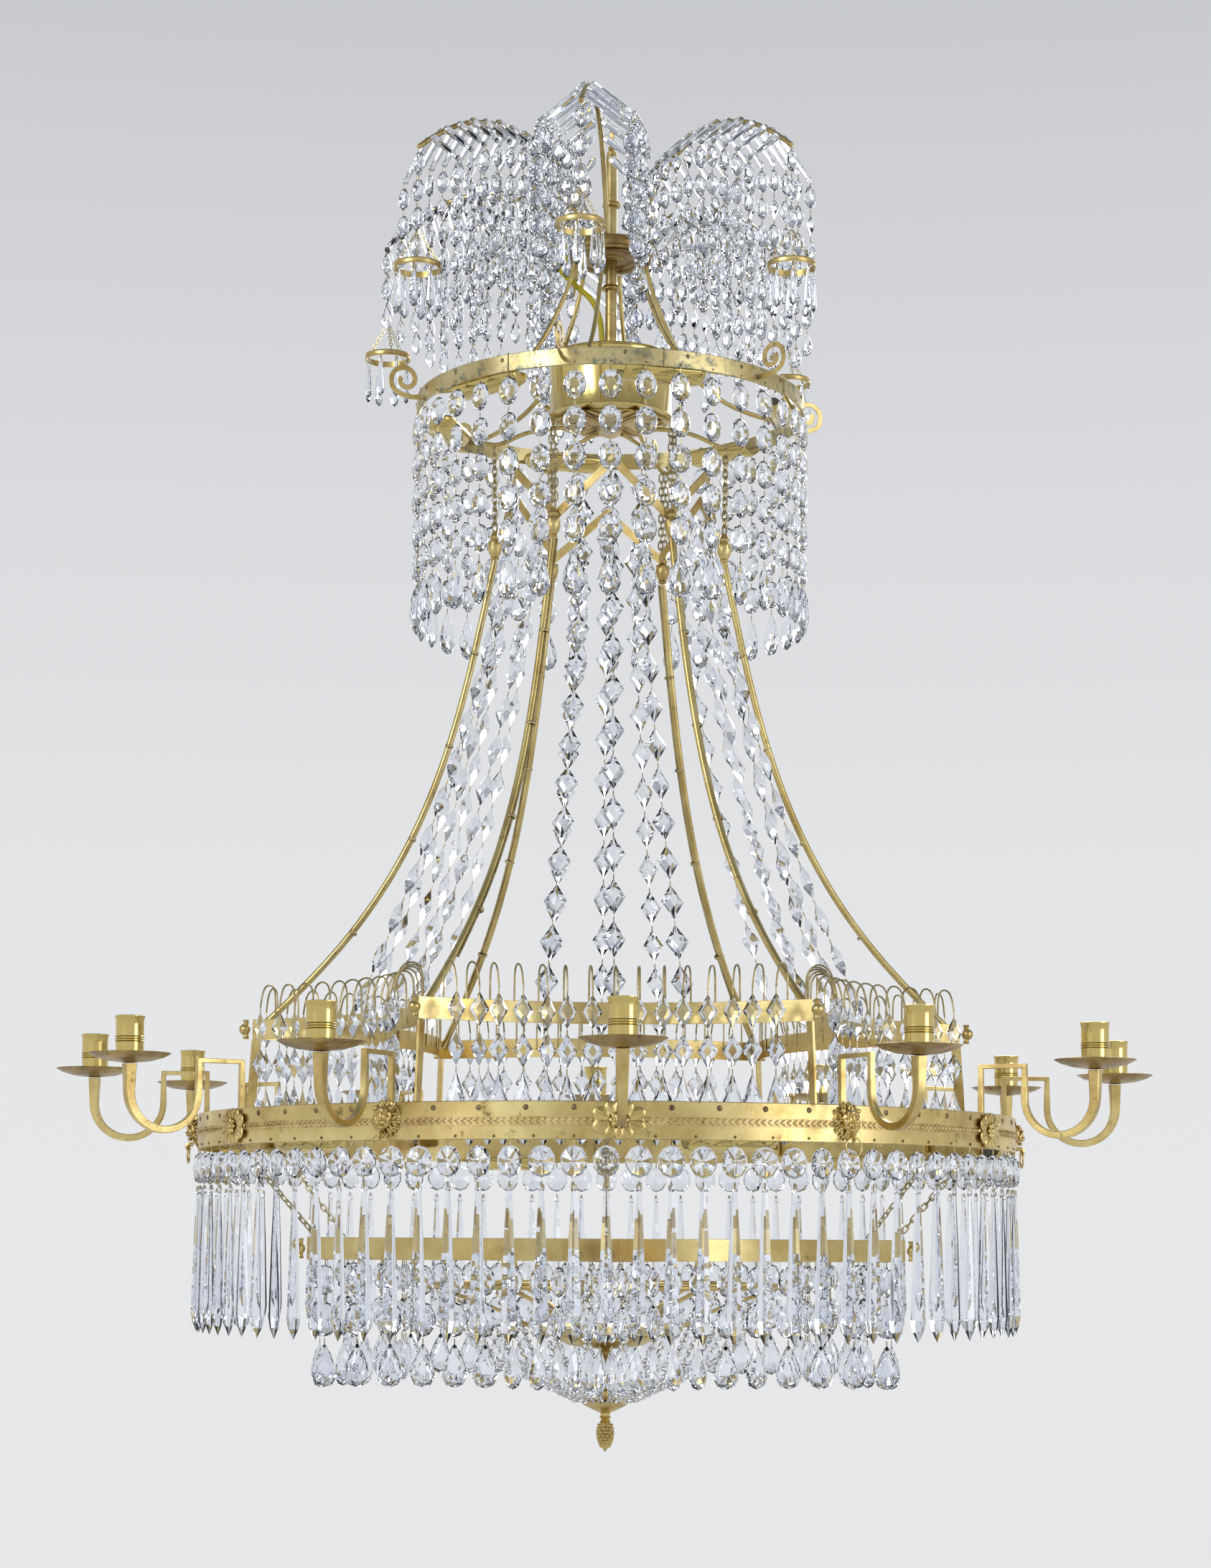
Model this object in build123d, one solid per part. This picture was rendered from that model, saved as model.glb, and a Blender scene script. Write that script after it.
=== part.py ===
from build123d import *
import math
import os

# A crystal chandelier in the late eighteenth century manner: a palm crown of glass fronds over a
# hooped upper ring, a bell of lozenge garlands on six curved stems, a fountain tier of arched
# wires, a broad candle ring with twelve arms, and a smaller ring with a basket and a finial below.
# Sizes are in mm. The origin is the centre of the hanging eye, +Z is up, the front faces -Y, and
# every compass angle is in degrees from the front, growing towards +X.
# What repeats hundreds of times has few faces: a glass drop is one solid with four flats, and
# the brass pin through its ends is part of its two points.

# ------------------------------------------------------------------ clearances
SEAT = 0.3                  # between a piece and what it rests on or hangs from
RING_PLAY = 0.35            # round the wire of a free ring in its staple

# ------------------------------------------------------------------ eye, tube and crown plate
EYE_HOLE_R = 6.0
EYE_RIM = 5.0
EYE_THICK = 6.0
EYE_SIDES = 16
SHANK_R = 5.2
SHANK_LEN = 7.0
TUBE_R = 5.5
TUBE_WALL = 1.2
TUBE_LEN = 258.0
COLLAR_R = 9.0
COLLAR_H = 4.0
COLLAR_DROPS = (46.0, 128.0)        # from the tube's top to each collar's top
PLATE_DROP = 89.0                   # from the tube's top to the plate's top
PLATE_R = 42.0
PLATE_H = 15.0
PLATE_STEP = 4.0                    # height and width of the plate's two moulded edges

# ------------------------------------------------------------------ palm fronds
FROND_COMPASS = (-7.0, 46.0, 128.0, -170.0, -106.0, -51.0)
FROND_RISES = (98.0, 84.0, 63.0, 66.0, 63.0, 86.0)      # from the plate to each frond's crest
FROND_ROD = 5.0
FROND_FOOT_R = 32.0
FROND_CREST_R = 140.0
FROND_TIP_R = 228.0
FROND_TIP_DROP = 44.0               # from a frond's crest to its tip
BARB_LEN = 52.0
BARB_W = 7.5
BARB_SLOPE = 38.0
BARB_FIRST_R = 66.0
BARB_PITCH = 14.8
STRING_COUNTS = (2, 3, 4, 4, 6, 5, 6, 5, 4, 4, 3)       # small drops below each barb, crest outwards
SMALL_DROP_L = 26.0
SMALL_DROP_W = 16.0
SMALL_DROP_D = 8.0

# ------------------------------------------------------------------ small hanging hoops
HOOP_R = 22.5
HOOP_H = 5.5
HOOP_WALL = 1.4
HOOP_SIDES = 8
HOOP_CHAIN_H = 30.0
HOOP_CHAIN_W = 1.6
HOOP_STRING = 3                     # drops between the frond's tip and the hoop's chains
HOOP_SPEAR_L = 40.0
HOOP_SPEAR_W = 10.0
HOOP_SPEAR_D = 6.0

# ------------------------------------------------------------------ drum, rosette plate and spider
DRUM_R = 59.5
DRUM_H = 61.0
DRUM_WALL = 1.5
ROSETTE_PLATE_R = 53.0
ROSETTE_PLATE_NECK = 0.72           # radius between two petals, as a share of the petals' radius
ROSETTE_PLATE_T = 4.0
ROSETTE_PETALS = 12
SPIDER_ROD = 4.5
SPIDER_FOOT_R = 24.0
HOOK_R = 111.0
HOOK_DROP = 20.0                    # from the rosette plate's underside to the hooks

# ------------------------------------------------------------------ upper ring
UPPER_R = 186.0
UPPER_H = 16.0
UPPER_WALL = 2.0
UPPER_DROP = 44.0                   # from the drum's rim to the ring's top edge
STAY_ROD = 4.5
STAY_TURN = -13.0
SCROLL_R = 13.5
SCROLL_W = 6.0
SCROLL_T = 1.6
UPPER_STRINGS = 36
UPPER_OVALS = 5
OVAL_L = 32.8
OVAL_W = 21.0
OVAL_D = 9.0
PEAR_L = 46.0
PEAR_W = 24.0
PEAR_D = 11.0

# ------------------------------------------------------------------ concealed lamps
LAMP_COUNT = 6
SHADE_R = 15.0
SHADE_LEN = 80.0
SHADE_WALL = 1.2
LAMP_TUCK = 4.0                     # how far the shades' rims stand up inside a ring
BULB_R = 8.0
BULB_LEN = 66.0

# ------------------------------------------------------------------ zigzag crown and stems
SIX = 6
TURN = 1.5                          # the whole frame hangs turned this much
CHAIN_W = 5.0
UPPER_CHAIN_LEN = 81.0
SOCKET_R = 7.0
SOCKET_H = 28.0
STEM_ROD = 6.6
STEM_TOP_R = 110.0
STEM_DROP = 448.0
STEM_BELL = 0.42                    # how early the stems flare: 1 is straight
STEM_RUNS = 5
ZIGZAG_W = 8.0
ZIGZAG_T = 1.6
ZIGZAG_H = 49.0
ZIGZAG_DROP = 5.0                   # from the sockets' tops to the zigzag's valleys
GARLAND_SPREAD = (27.0, 61.0)       # sideways step between two strings, at their top and their foot
GARLAND_SAG = 1.5
GARLAND_TUCK = 4.5                  # from the tier ring's wall in to the strings' feet
LOZENGES = 13
LOZENGE_W = 21.0
LOZENGE_D = 9.0

# ------------------------------------------------------------------ fountain tier
TIER_R = 335.0                      # to the corners
TIER_HOLLOW = 55.0                  # how far a side's middle lies inside a straight side
TIER_H = 19.0
TIER_WALL = 1.6
SIDE_FLATS = 6                      # flats along one hollow side
BALL_R = 6.0
POST_W = 9.0
POST_T = 3.0
POST_LEN = 73.0                     # from the tier ring's lower edge to the main ring's top edge
POST_FOOT_DROP = 14.0               # from the main ring's top edge to the posts' feet
WIRES = 15                          # on one side
WIRE_W = 1.9
WIRE_RISE = 31.0
WIRE_REACH = 22.0
WIRE_TIP = 8.0                      # height of a wire's tip over the band
WIRE_ROOT = 12.0                    # how far down inside the band a wire is soldered
WIRE_MARGIN = 24.0                  # from a corner to the first wire
TIER_DROP_L = 118.0
TIER_DROP_W = 18.0
TIER_DROP_D = 9.0

# ------------------------------------------------------------------ main ring
MAIN_R = 384.0
MAIN_H = 32.0
MAIN_WALL = 2.0
MAIN_SIDES = 60
MASK_W = 30.0
MASK_H = 36.0
MASK_FACE = 8.0
MASK_NOSE = 13.0
ROSETTE_W = 50.0
ROSETTE_H = 33.0
ROSETTE_D = 7.0
STAPLE_T = 1.2
STAPLE_W = 4.5
LION_RING_R = 9.0
LION_RING_WIRE = 1.8
LION_RING_SIDES = 8
BUTTONS = 90
BUTTON_L = 34.0
BUTTON_W = 24.0
BUTTON_D = 10.0
SPEAR_L = 134.0
SPEAR_W = 15.0
SPEAR_D = 11.0

# ------------------------------------------------------------------ candle arms
ARMS = 12
ARM_BAR = 6.5
ARM_TUCK = 24.0                     # length of an arm's leg behind the ring
BRACKET_RISE = 41.0
BRACKET_OUT = 41.0
LOOP_R = 32.5
LOOP_DROP = 29.0                    # from the bracket's bar to the loop's centre
LOOP_FLATS = 5
ARM_TIP_RISE = 24.0                 # from the loop's centre to the arm's tip
PAN_R = 36.0
PAN_DISH = 9.0
PAN_T = 2.0
PAN_SIDES = 14
NOZZLE_R = 13.0
NOZZLE_BORE_R = 11.0
NOZZLE_H = 37.0
NOZZLE_FLOOR = 4.0
NOZZLE_FOOT_R = 9.0
NOZZLE_SIDES = 10

# ------------------------------------------------------------------ lower ring and basket
LOWER_R = 308.0
LOWER_HOLLOW = 80.0
LOWER_H = 20.0
LOWER_WALL = 1.6
LOWER_DROP = 81.0                   # from the main ring's lower edge to the lower ring's top edge
LOWER_STRINGS = 12                  # on one side
LOWER_MARGIN = 16.0
LOWER_STRING_L = 114.0
LOWER_STRING_W = 20.0
LOWER_STRING_D = 10.0
BASKET_R = 160.0
BASKET_ROD = 6.0
BASKET_DROP = 24.0                  # from the lower ring's lower edge to the hoop's centre
BASKET_ARM = 4.0
CUP_R = 49.5
CUP_H = 16.0
CUP_WALL = 4.0
CUP_SIDES = 12
CUP_DROP = 43.0                     # from the basket hoop's centre to the cup's rim
SPACER_R = 4.0
SPACER_LENS = (13.0, 14.0)          # cup to boss, boss to leaf dish
BOSS_R = 15.0
BOSS_H = 20.0
DISH_R = 24.0
DISH_H = 13.0
CONE_NECK_R = 4.5
CONE_NECK_H = 8.0
CONE_R = 7.8
CONE_H = 28.0
BASKET_STRINGS = 24
BASKET_STRING_W = 5.0
BASKET_BELLY = 0.62                 # where a string bends, as a share of its way down

# ------------------------------------------------------------------ supply lead
LEAD_R = 2.75
LEAD_DROP = 76.0                    # from the tube's top to where the lead leaves its side

# ------------------------------------------------------------------ levels that follow from the sizes
TUBE_TOP = -(EYE_HOLE_R + EYE_RIM + SHANK_LEN + SEAT)
PLATE_TOP = TUBE_TOP - PLATE_DROP
PLATE_BOTTOM = PLATE_TOP - PLATE_H
DRUM_FLOOR = TUBE_TOP - TUBE_LEN - SEAT
DRUM_BOTTOM = DRUM_FLOOR - DRUM_WALL
DRUM_TOP = DRUM_BOTTOM + DRUM_H
ROSETTE_TOP = DRUM_BOTTOM - SEAT
ROSETTE_BOTTOM = ROSETTE_TOP - ROSETTE_PLATE_T
HOOK_Z = ROSETTE_BOTTOM - HOOK_DROP
UPPER_TOP = DRUM_TOP - UPPER_DROP
UPPER_BOTTOM = UPPER_TOP - UPPER_H
SOCKET_TOP = HOOK_Z - SPIDER_ROD / 2 - UPPER_CHAIN_LEN - 2 * SEAT
STEM_TOP = SOCKET_TOP - SOCKET_H - SEAT - STEM_ROD / 8
STEM_FOOT = STEM_TOP - STEM_DROP
TIER_TOP = STEM_FOOT + STEM_ROD
TIER_BOTTOM = TIER_TOP - TIER_H
MAIN_TOP = TIER_BOTTOM - SEAT - POST_LEN
MAIN_BOTTOM = MAIN_TOP - MAIN_H
LOWER_TOP = MAIN_BOTTOM - LOWER_DROP
LOWER_BOTTOM = LOWER_TOP - LOWER_H
BASKET_Z = LOWER_BOTTOM - BASKET_DROP
CUP_TOP = BASKET_Z - CUP_DROP
CUP_BOTTOM = CUP_TOP - CUP_H
BOSS_TOP = CUP_BOTTOM - SPACER_LENS[0] - 2 * SEAT
DISH_TOP = BOSS_TOP - BOSS_H - SPACER_LENS[1] - 2 * SEAT
NECK_TOP = DISH_TOP - DISH_H - SEAT


# ------------------------------------------------------------------ building blocks
def patch(corners):
    """One flat face, or two triangles where four corners aren't in one plane."""
    points = [p for i, p in enumerate(corners) if (p - corners[i - 1]).length > 1e-6]
    if len(points) == 4:
        normal = (points[1] - points[0]).cross(points[2] - points[0]).normalized()
        if abs(normal.dot(points[3] - points[0])) > 1e-6:
            halves = (points[:3], [points[0], points[2], points[3]])
            return [Face(Wire.make_polygon(half, close=True)) for half in halves]
    return [Face(Wire.make_polygon(points, close=True))]


def skin(rings, closed=False):
    """A flat-faced solid through rings of points, where a ring of one point is a tip."""
    faces = []
    for low, high in zip(rings, rings[1:] + (rings[:1] if closed else [])):
        for i in range(max(len(low), len(high))):
            j = i + 1
            corners = [low[i % len(low)], low[j % len(low)], high[j % len(high)], high[i % len(high)]]
            faces += patch(corners)
    if not closed:
        faces += [Face(Wire.make_polygon(r, close=True)) for r in (rings[0], rings[-1]) if len(r) > 2]
    return Solid(Shell(faces))


def turned(profile, sides, closed=False):
    """A turned piece with flats: (radius, height) pairs carried round +Z."""
    steps = [2 * math.pi * (k + 0.5) / sides for k in range(sides)]
    rings = [
        [Vector(r * math.cos(a), r * math.sin(a), z) for a in steps] if r else [Vector(0, 0, z)]
        for r, z in profile
    ]
    return skin(rings, closed)


def round_band(radius, wall, top, bottom, sides):
    inner = radius - wall
    return turned([(inner, bottom), (radius, bottom), (radius, top), (inner, top)], sides, closed=True)


def bar(path, section, closed=False, pointed=False):
    """A mitred bar along (x, z) points; section holds (across the path, sideways) pairs."""
    rings = []
    for i, (x, z) in enumerate(path):
        ends = [(path[i - 1], path[i])] if closed or i else []
        ends += [(path[i], path[(i + 1) % len(path)])] if closed or i < len(path) - 1 else []
        normals = []
        for (xa, za), (xb, zb) in ends:
            run = math.hypot(xb - xa, zb - za)
            normals.append((-(zb - za) / run, (xb - xa) / run))
        nx, nz = (sum(n[k] for n in normals) for k in (0, 1))
        scale = 2 / (nx * nx + nz * nz) if len(normals) == 2 else 1
        rings.append([Vector(x + u * scale * nx, v, z + u * scale * nz) for u, v in section])
    if pointed:
        rings[-1] = [Vector(path[-1][0], 0, path[-1][1])]
    return skin(rings, closed)


def flat_radius(corner_r, sides):
    """The radius at the middle of a flat, from the radius at its corners."""
    return corner_r * math.cos(math.pi / sides)


def rectangle(across, sideways):
    u, v = across / 2, sideways / 2
    return [(u, v), (-u, v), (-u, -v), (u, -v)]


def polygon(radius, sides):
    steps = [2 * math.pi * k / sides for k in range(sides)]
    return [(radius * math.cos(a), radius * math.sin(a)) for a in steps]


def drop(length, width, depth, belly):
    """A hanging glass drop in four flats: its top point at the origin, its front towards +X."""
    top, foot = Vector(0, 0, 0), Vector(0, 0, -length)
    left, right = (Vector(0.6 * depth, y, -length * belly) for y in (width / 2, -width / 2))
    flats = ((top, left, right), (foot, left, right), (top, foot, left), (top, foot, right))
    return Solid(Shell([Face(Wire.make_polygon(flat, close=True)) for flat in flats]))


def at(radius, compass, z, tip=0.0):
    """The place at a radius and a compass angle, with +X outwards, tipped about its tangent."""
    return Rot(0, 0, compass - 90) * Pos(radius, 0, z) * Rot(0, tip, 0)


def around(solid, count, radius, z, turn=0.0):
    return [at(radius, turn + 360 * k / count, z) * solid for k in range(count)]


def hollow_side(corner_r, hollow):
    """The flats of one hollow side, its middle on +X, from one corner to the next."""
    half = corner_r * math.sin(math.pi / SIX)
    face = corner_r * math.cos(math.pi / SIX)
    curve = Bezier((face, -half), (face - 2 * hollow, 0), (face, half))
    return [curve.position_at(k / SIDE_FLATS) for k in range(SIDE_FLATS + 1)]


def hollow_band(corner_r, hollow, height, wall, top, turn):
    """A band on edge round six hollow sides."""
    side = hollow_side(corner_r, hollow)
    plan = []
    for s in range(SIX):
        plan += [p.rotate(Axis.Z, 60 * s) for p in side[:-1]]
    path = [(p.X, p.Y) for p in plan]
    band = Rot(-90, 0, 0) * bar(path, rectangle(wall, height), closed=True)
    return Rot(0, 0, turn - 90) * Pos(0, 0, top - height / 2) * band


def band_tip(corner_r, hollow, wall):
    """Radius of the mitred outer edge at a hollow band's corners."""
    first, second = hollow_side(corner_r, hollow)[:2]
    run = second - first
    lean = math.atan2(run.Y, run.X) - math.pi * 5 / 6
    return corner_r + wall / 2 / math.sin(abs(lean))


def along_sides(solid, corner_r, hollow, count, margin, z, turn, offset):
    """Copies along all six hollow sides, each facing out square to its side."""
    side = Polyline(*hollow_side(corner_r, hollow))
    copies = []
    for k in range(count):
        share = (margin + (side.length - 2 * margin) * k / (count - 1)) / side.length
        point, run = side.position_at(share), side.tangent_at(share)
        facing = math.degrees(math.atan2(run.Y, run.X)) - 90
        spot = Pos(point.X, point.Y, z) * Rot(0, 0, facing) * Pos(offset, 0, 0)
        copies += [Rot(0, 0, turn - 90 + 60 * s) * spot * solid for s in range(SIX)]
    return copies


# ------------------------------------------------------------------ eye, tube and crown plate
def hanging_eye():
    rim = extrude(RegularPolygon(EYE_HOLE_R + EYE_RIM, EYE_SIDES), EYE_THICK / 2, both=True)
    eye = Rot(0, 90, 0) * (rim - Cylinder(EYE_HOLE_R, 2 * EYE_THICK))
    foot = TUBE_TOP + SEAT
    shank = turned([(SHANK_R, foot), (SHANK_R, foot + SHANK_LEN + EYE_RIM / 2)], 8)
    return [(eye + shank).solid()]


def centre_tube():
    pieces = [round_band(TUBE_R, TUBE_WALL, TUBE_TOP, TUBE_TOP - TUBE_LEN, 12)]
    bore = TUBE_R + SEAT
    for fall in COLLAR_DROPS:
        top = TUBE_TOP - fall
        pieces.append(round_band(COLLAR_R, COLLAR_R - bore, top, top - COLLAR_H, 12))
    return pieces


def crown_plate():
    bore = TUBE_R + 2 * SEAT
    inner = PLATE_R - PLATE_STEP
    low, high = PLATE_BOTTOM + PLATE_STEP, PLATE_TOP - PLATE_STEP
    edge = [(inner, PLATE_BOTTOM), (PLATE_R, low), (PLATE_R, high), (inner, PLATE_TOP)]
    return [turned([(bore, PLATE_BOTTOM)] + edge + [(bore, PLATE_TOP)], 20, True)]


# ------------------------------------------------------------------ palm fronds
def frond_height(radius, rise):
    """Height of a frond's rod over the plate: a steep quarter to its crest, then a slow fall."""
    if radius < FROND_CREST_R:
        share = (FROND_CREST_R - radius) / (FROND_CREST_R - FROND_FOOT_R)
        return rise * (1 - share ** 2.6)
    return rise - FROND_TIP_DROP * ((radius - FROND_CREST_R) / (FROND_TIP_R - FROND_CREST_R)) ** 2


def frond_path(rise):
    """The bends of one frond's rod, from its foot on the plate to its tip."""
    foot = PLATE_TOP + SEAT + 0.35 * FROND_ROD
    shares = (0, 0.17, 0.4, 0.68, 1)
    radii = [FROND_FOOT_R + (FROND_CREST_R - FROND_FOOT_R) * s for s in shares]
    radii += [FROND_CREST_R + (FROND_TIP_R - FROND_CREST_R) * s for s in (0.36, 0.71, 1)]
    return [(r, foot + frond_height(r, rise)) for r in radii]


def rod_height(path, radius):
    """Height of a bent rod at a radius."""
    for (ra, za), (rb, zb) in zip(path, path[1:]):
        if radius <= rb:
            return za + (zb - za) * (radius - ra) / (rb - ra)


def frond_spines():
    rod = polygon(FROND_ROD / 2, 4)
    return [at(0, c, 0) * bar(frond_path(rise), rod) for c, rise in zip(FROND_COMPASS, FROND_RISES)]


def barb_places():
    """Every barb's frond, number, radius along the spine, side and reach."""
    places = []
    order = sorted(FROND_COMPASS)
    for compass, rise in zip(FROND_COMPASS, FROND_RISES):
        i = order.index(compass)
        gaps = ((order[(i + 1) % SIX] - compass) % 360, (compass - order[i - 1]) % 360)
        for k in range(len(STRING_COUNTS)):
            radius = BARB_FIRST_R + BARB_PITCH * k
            for side, gap in zip((1, -1), gaps):
                room = radius * math.tan(math.radians(gap / 2)) - SMALL_DROP_W * 0.7
                reach = min(BARB_LEN * math.cos(math.radians(BARB_SLOPE)), room)
                places.append((compass, rise, k, radius, side, reach))
    return places


def frond_barbs():
    """Tapered glass rods, thick at the spine, that fall to both sides."""
    barbs = []
    off = 0.4 * FROND_ROD + SEAT
    for compass, rise, k, radius, side, reach in barb_places():
        length = reach / math.cos(math.radians(BARB_SLOPE))
        barb = Rot(side * (90 - BARB_SLOPE), 0, 0) * drop(length, BARB_W, BARB_W, 0.14)
        z = rod_height(frond_path(rise), radius)
        barbs.append(at(radius, compass, z) * Pos(0, side * off, 0) * barb)
    return barbs


def frond_strings():
    """The short strings of small drops below the barbs, each string one solid."""
    strings = []
    off = 0.4 * FROND_ROD + SEAT
    for compass, rise, k, radius, side, reach in barb_places():
        string = drop(STRING_COUNTS[k] * SMALL_DROP_L, SMALL_DROP_W, SMALL_DROP_D, 0.72)
        fall = reach * math.tan(math.radians(BARB_SLOPE)) + SEAT
        z = rod_height(frond_path(rise), radius) - fall
        strings.append(at(radius, compass, z) * Pos(0, side * (off + reach), 0) * string)
    return strings


# ------------------------------------------------------------------ small hanging hoops
HOOP_STRING_TOP = -(FROND_ROD / 8 + SEAT)
HOOP_CHAIN_TOP = HOOP_STRING_TOP - HOOP_STRING * SMALL_DROP_L - SEAT
HOOP_TOP = HOOP_CHAIN_TOP - HOOP_CHAIN_H - SEAT


def frond_tip(k):
    return frond_path(FROND_RISES[k])[-1][1]


def crown_hoop(k):
    """A small hoop and its three fine chains, hung from frond k's tip."""
    low, wall = HOOP_TOP - HOOP_H, HOOP_R - HOOP_WALL
    hoop = turned([(wall, low), (HOOP_R, low), (HOOP_R, HOOP_TOP), (wall, HOOP_TOP)], HOOP_SIDES, True)
    foot_r = HOOP_R - HOOP_WALL
    path = [(0.62 * HOOP_CHAIN_W, HOOP_CHAIN_TOP + SEAT), (foot_r, HOOP_TOP + SEAT)]
    chain = bar(path, [(-u, v) for u, v in polygon(HOOP_CHAIN_W / 2, 3)])
    chains = [Rot(0, 0, 120 * c) * chain for c in range(3)]
    return [at(FROND_TIP_R, FROND_COMPASS[k], frond_tip(k)) * s for s in [hoop] + chains]


def hoop_drops(k):
    """The string that a small hoop hangs on, and the spear drops round its lower edge."""
    link = drop(SMALL_DROP_L - SEAT, SMALL_DROP_W, SMALL_DROP_D, 0.5)
    string = [Pos(0, 0, HOOP_STRING_TOP - SMALL_DROP_L * n) * link for n in range(HOOP_STRING)]
    spear = drop(HOOP_SPEAR_L, HOOP_SPEAR_W, HOOP_SPEAR_D, 0.8)
    low = HOOP_TOP - HOOP_H - SEAT
    flat_r = (HOOP_R - HOOP_WALL / 2) * math.cos(math.pi / HOOP_SIDES)
    spears = [Rot(0, 0, 360 * n / HOOP_SIDES) * Pos(flat_r, 0, low) * spear for n in range(HOOP_SIDES)]
    return [at(FROND_TIP_R, FROND_COMPASS[k], frond_tip(k)) * s for s in string + spears]


# ------------------------------------------------------------------ drum, rosette plate and spider
def drum():
    inner = DRUM_R - DRUM_WALL
    walls = [(DRUM_R, DRUM_BOTTOM), (DRUM_R, DRUM_TOP), (inner, DRUM_TOP), (inner, DRUM_FLOOR)]
    return [turned(walls, 24)]


def rosette_plate():
    points = []
    for k in range(2 * ROSETTE_PETALS):
        r = ROSETTE_PLATE_R * (ROSETTE_PLATE_NECK if k % 2 else 1)
        a = math.pi * k / ROSETTE_PETALS
        points.append((r * math.cos(a), r * math.sin(a)))
    rings = [[Vector(x, y, z) for x, y in points] for z in (ROSETTE_BOTTOM, ROSETTE_TOP)]
    return [skin(rings)]


def spider_arms():
    top = ROSETTE_BOTTOM - SEAT - SPIDER_ROD / 2
    path = [(SPIDER_FOOT_R, top), (0.62 * HOOK_R, top - 2), (HOOK_R, HOOK_Z), (HOOK_R + 14, HOOK_Z + 4)]
    arm = bar(path, rectangle(SPIDER_ROD, SPIDER_ROD))
    return around(arm, SIX, 0, 0, 30 + TURN)


# ------------------------------------------------------------------ upper ring
def upper_ring():
    return [round_band(UPPER_R, UPPER_WALL, UPPER_TOP, UPPER_BOTTOM, UPPER_STRINGS)]


def stay_rods():
    """S-curved rods from under the crown plate's edge out to the upper ring."""
    foot = UPPER_TOP - STAY_ROD
    top = PLATE_BOTTOM - SEAT - STAY_ROD / 6
    start = PLATE_R - PLATE_STEP - STAY_ROD / 2
    end = flat_radius(UPPER_R - UPPER_WALL, UPPER_STRINGS) - SEAT
    shares = ((0, 0), (0.08, 0.28), (0.22, 0.6), (0.42, 0.84), (0.68, 0.96), (1, 1))
    path = [(start + a * (end - start), top + b * (foot - top)) for a, b in shares]
    stay = bar(path, rectangle(STAY_ROD, STAY_ROD))
    return around(stay, SIX, 0, 0, STAY_TURN)


def volute_scrolls():
    """Strips that leave the ring's face, rise and curl inwards."""
    start = UPPER_R + SEAT + SCROLL_T / 2
    z = UPPER_TOP - UPPER_H / 2
    centre_x, centre_z = start + SCROLL_R, z + SCROLL_R * 0.9
    path = [(start - 0.2, z - 2), (start + 0.5 * SCROLL_R, z - 4)]
    for k in range(6):
        a = math.radians(-60 + 72 * k)
        r = SCROLL_R * (1 - 0.12 * k)
        path.append((centre_x + r * math.cos(a), centre_z + r * math.sin(a)))
    scroll = bar(path, rectangle(SCROLL_T, SCROLL_W))
    return around(scroll, SIX, 0, 0, STAY_TURN)


def upper_ovals():
    oval = drop(OVAL_L - SEAT, OVAL_W, OVAL_D, 0.5)
    ovals = []
    for n in range(UPPER_OVALS):
        ovals += around(oval, UPPER_STRINGS, UPPER_R - UPPER_WALL / 2, UPPER_BOTTOM - SEAT - OVAL_L * n)
    return ovals


def upper_pears():
    pear = drop(PEAR_L, PEAR_W, PEAR_D, 0.66)
    top = UPPER_BOTTOM - SEAT - OVAL_L * UPPER_OVALS
    return around(pear, UPPER_STRINGS, UPPER_R - UPPER_WALL / 2, top)


# ------------------------------------------------------------------ concealed lamps
def lamp_places():
    """Radius, height and compass angle of every trough, its ends against the inside of a ring."""
    places = []
    upper = flat_radius(UPPER_R - UPPER_WALL, UPPER_STRINGS)
    main = flat_radius(MAIN_R - MAIN_WALL, MAIN_SIDES)
    rings = ((upper, UPPER_BOTTOM, STAY_TURN + 30), (main, MAIN_BOTTOM, TURN + 15))
    for inner, low, turn in rings:
        radius = math.sqrt((inner - SEAT) ** 2 - (SHADE_LEN / 2) ** 2) - SHADE_R
        places += [(radius, low + LAMP_TUCK, turn + 360 * k / LAMP_COUNT) for k in range(LAMP_COUNT)]
    return places


def lamp_shades():
    """Troughs of sheet brass, open at the top."""
    steps = [math.pi * (1 + k / 3) for k in range(4)]
    outer = [(SHADE_R * math.cos(a), SHADE_R * math.sin(a)) for a in steps]
    inner = [((SHADE_R - SHADE_WALL) / SHADE_R * x, (SHADE_R - SHADE_WALL) / SHADE_R * z) for x, z in outer]
    section = outer + inner[::-1]
    rings = [[Vector(x, y, z) for x, z in section] for y in (-SHADE_LEN / 2, SHADE_LEN / 2)]
    shade = skin(rings)
    return [at(r, compass, z) * shade for r, z, compass in lamp_places()]


def lamp_bulbs():
    """A slim lamp that lies along each trough."""
    ends = BULB_LEN / 2
    stations = [(BULB_R * 0.6, -ends), (BULB_R, 0), (0, ends)]
    bulb = Rot(90, 0, 0) * turned(stations, 4)
    floor = -(SHADE_R - SHADE_WALL) * math.sin(math.pi / 3)
    lift = floor + SEAT + BULB_R / math.sqrt(2)
    return [at(r, compass, z + lift) * bulb for r, z, compass in lamp_places()]


# ------------------------------------------------------------------ chains, sockets, stems, zigzag
def hanging_chains():
    """Six chains from the hooks to the sockets, and six from the main ring to the lower ring."""
    high = HOOK_Z - SPIDER_ROD / 2 - SEAT
    upper = bar([(HOOK_R, high), (STEM_TOP_R, SOCKET_TOP + SEAT)], rectangle(CHAIN_W, CHAIN_W))
    top_r = MAIN_R - MAIN_WALL - SEAT - 0.4 * CHAIN_W
    foot_r = LOWER_R - LOWER_WALL - CHAIN_W
    path = [(top_r, MAIN_BOTTOM + CHAIN_W), (foot_r, LOWER_TOP + SEAT + 0.4 * CHAIN_W)]
    lower = bar(path, rectangle(CHAIN_W, CHAIN_W))
    return around(upper, SIX, 0, 0, 30 + TURN) + around(lower, SIX, 0, 0)


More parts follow.
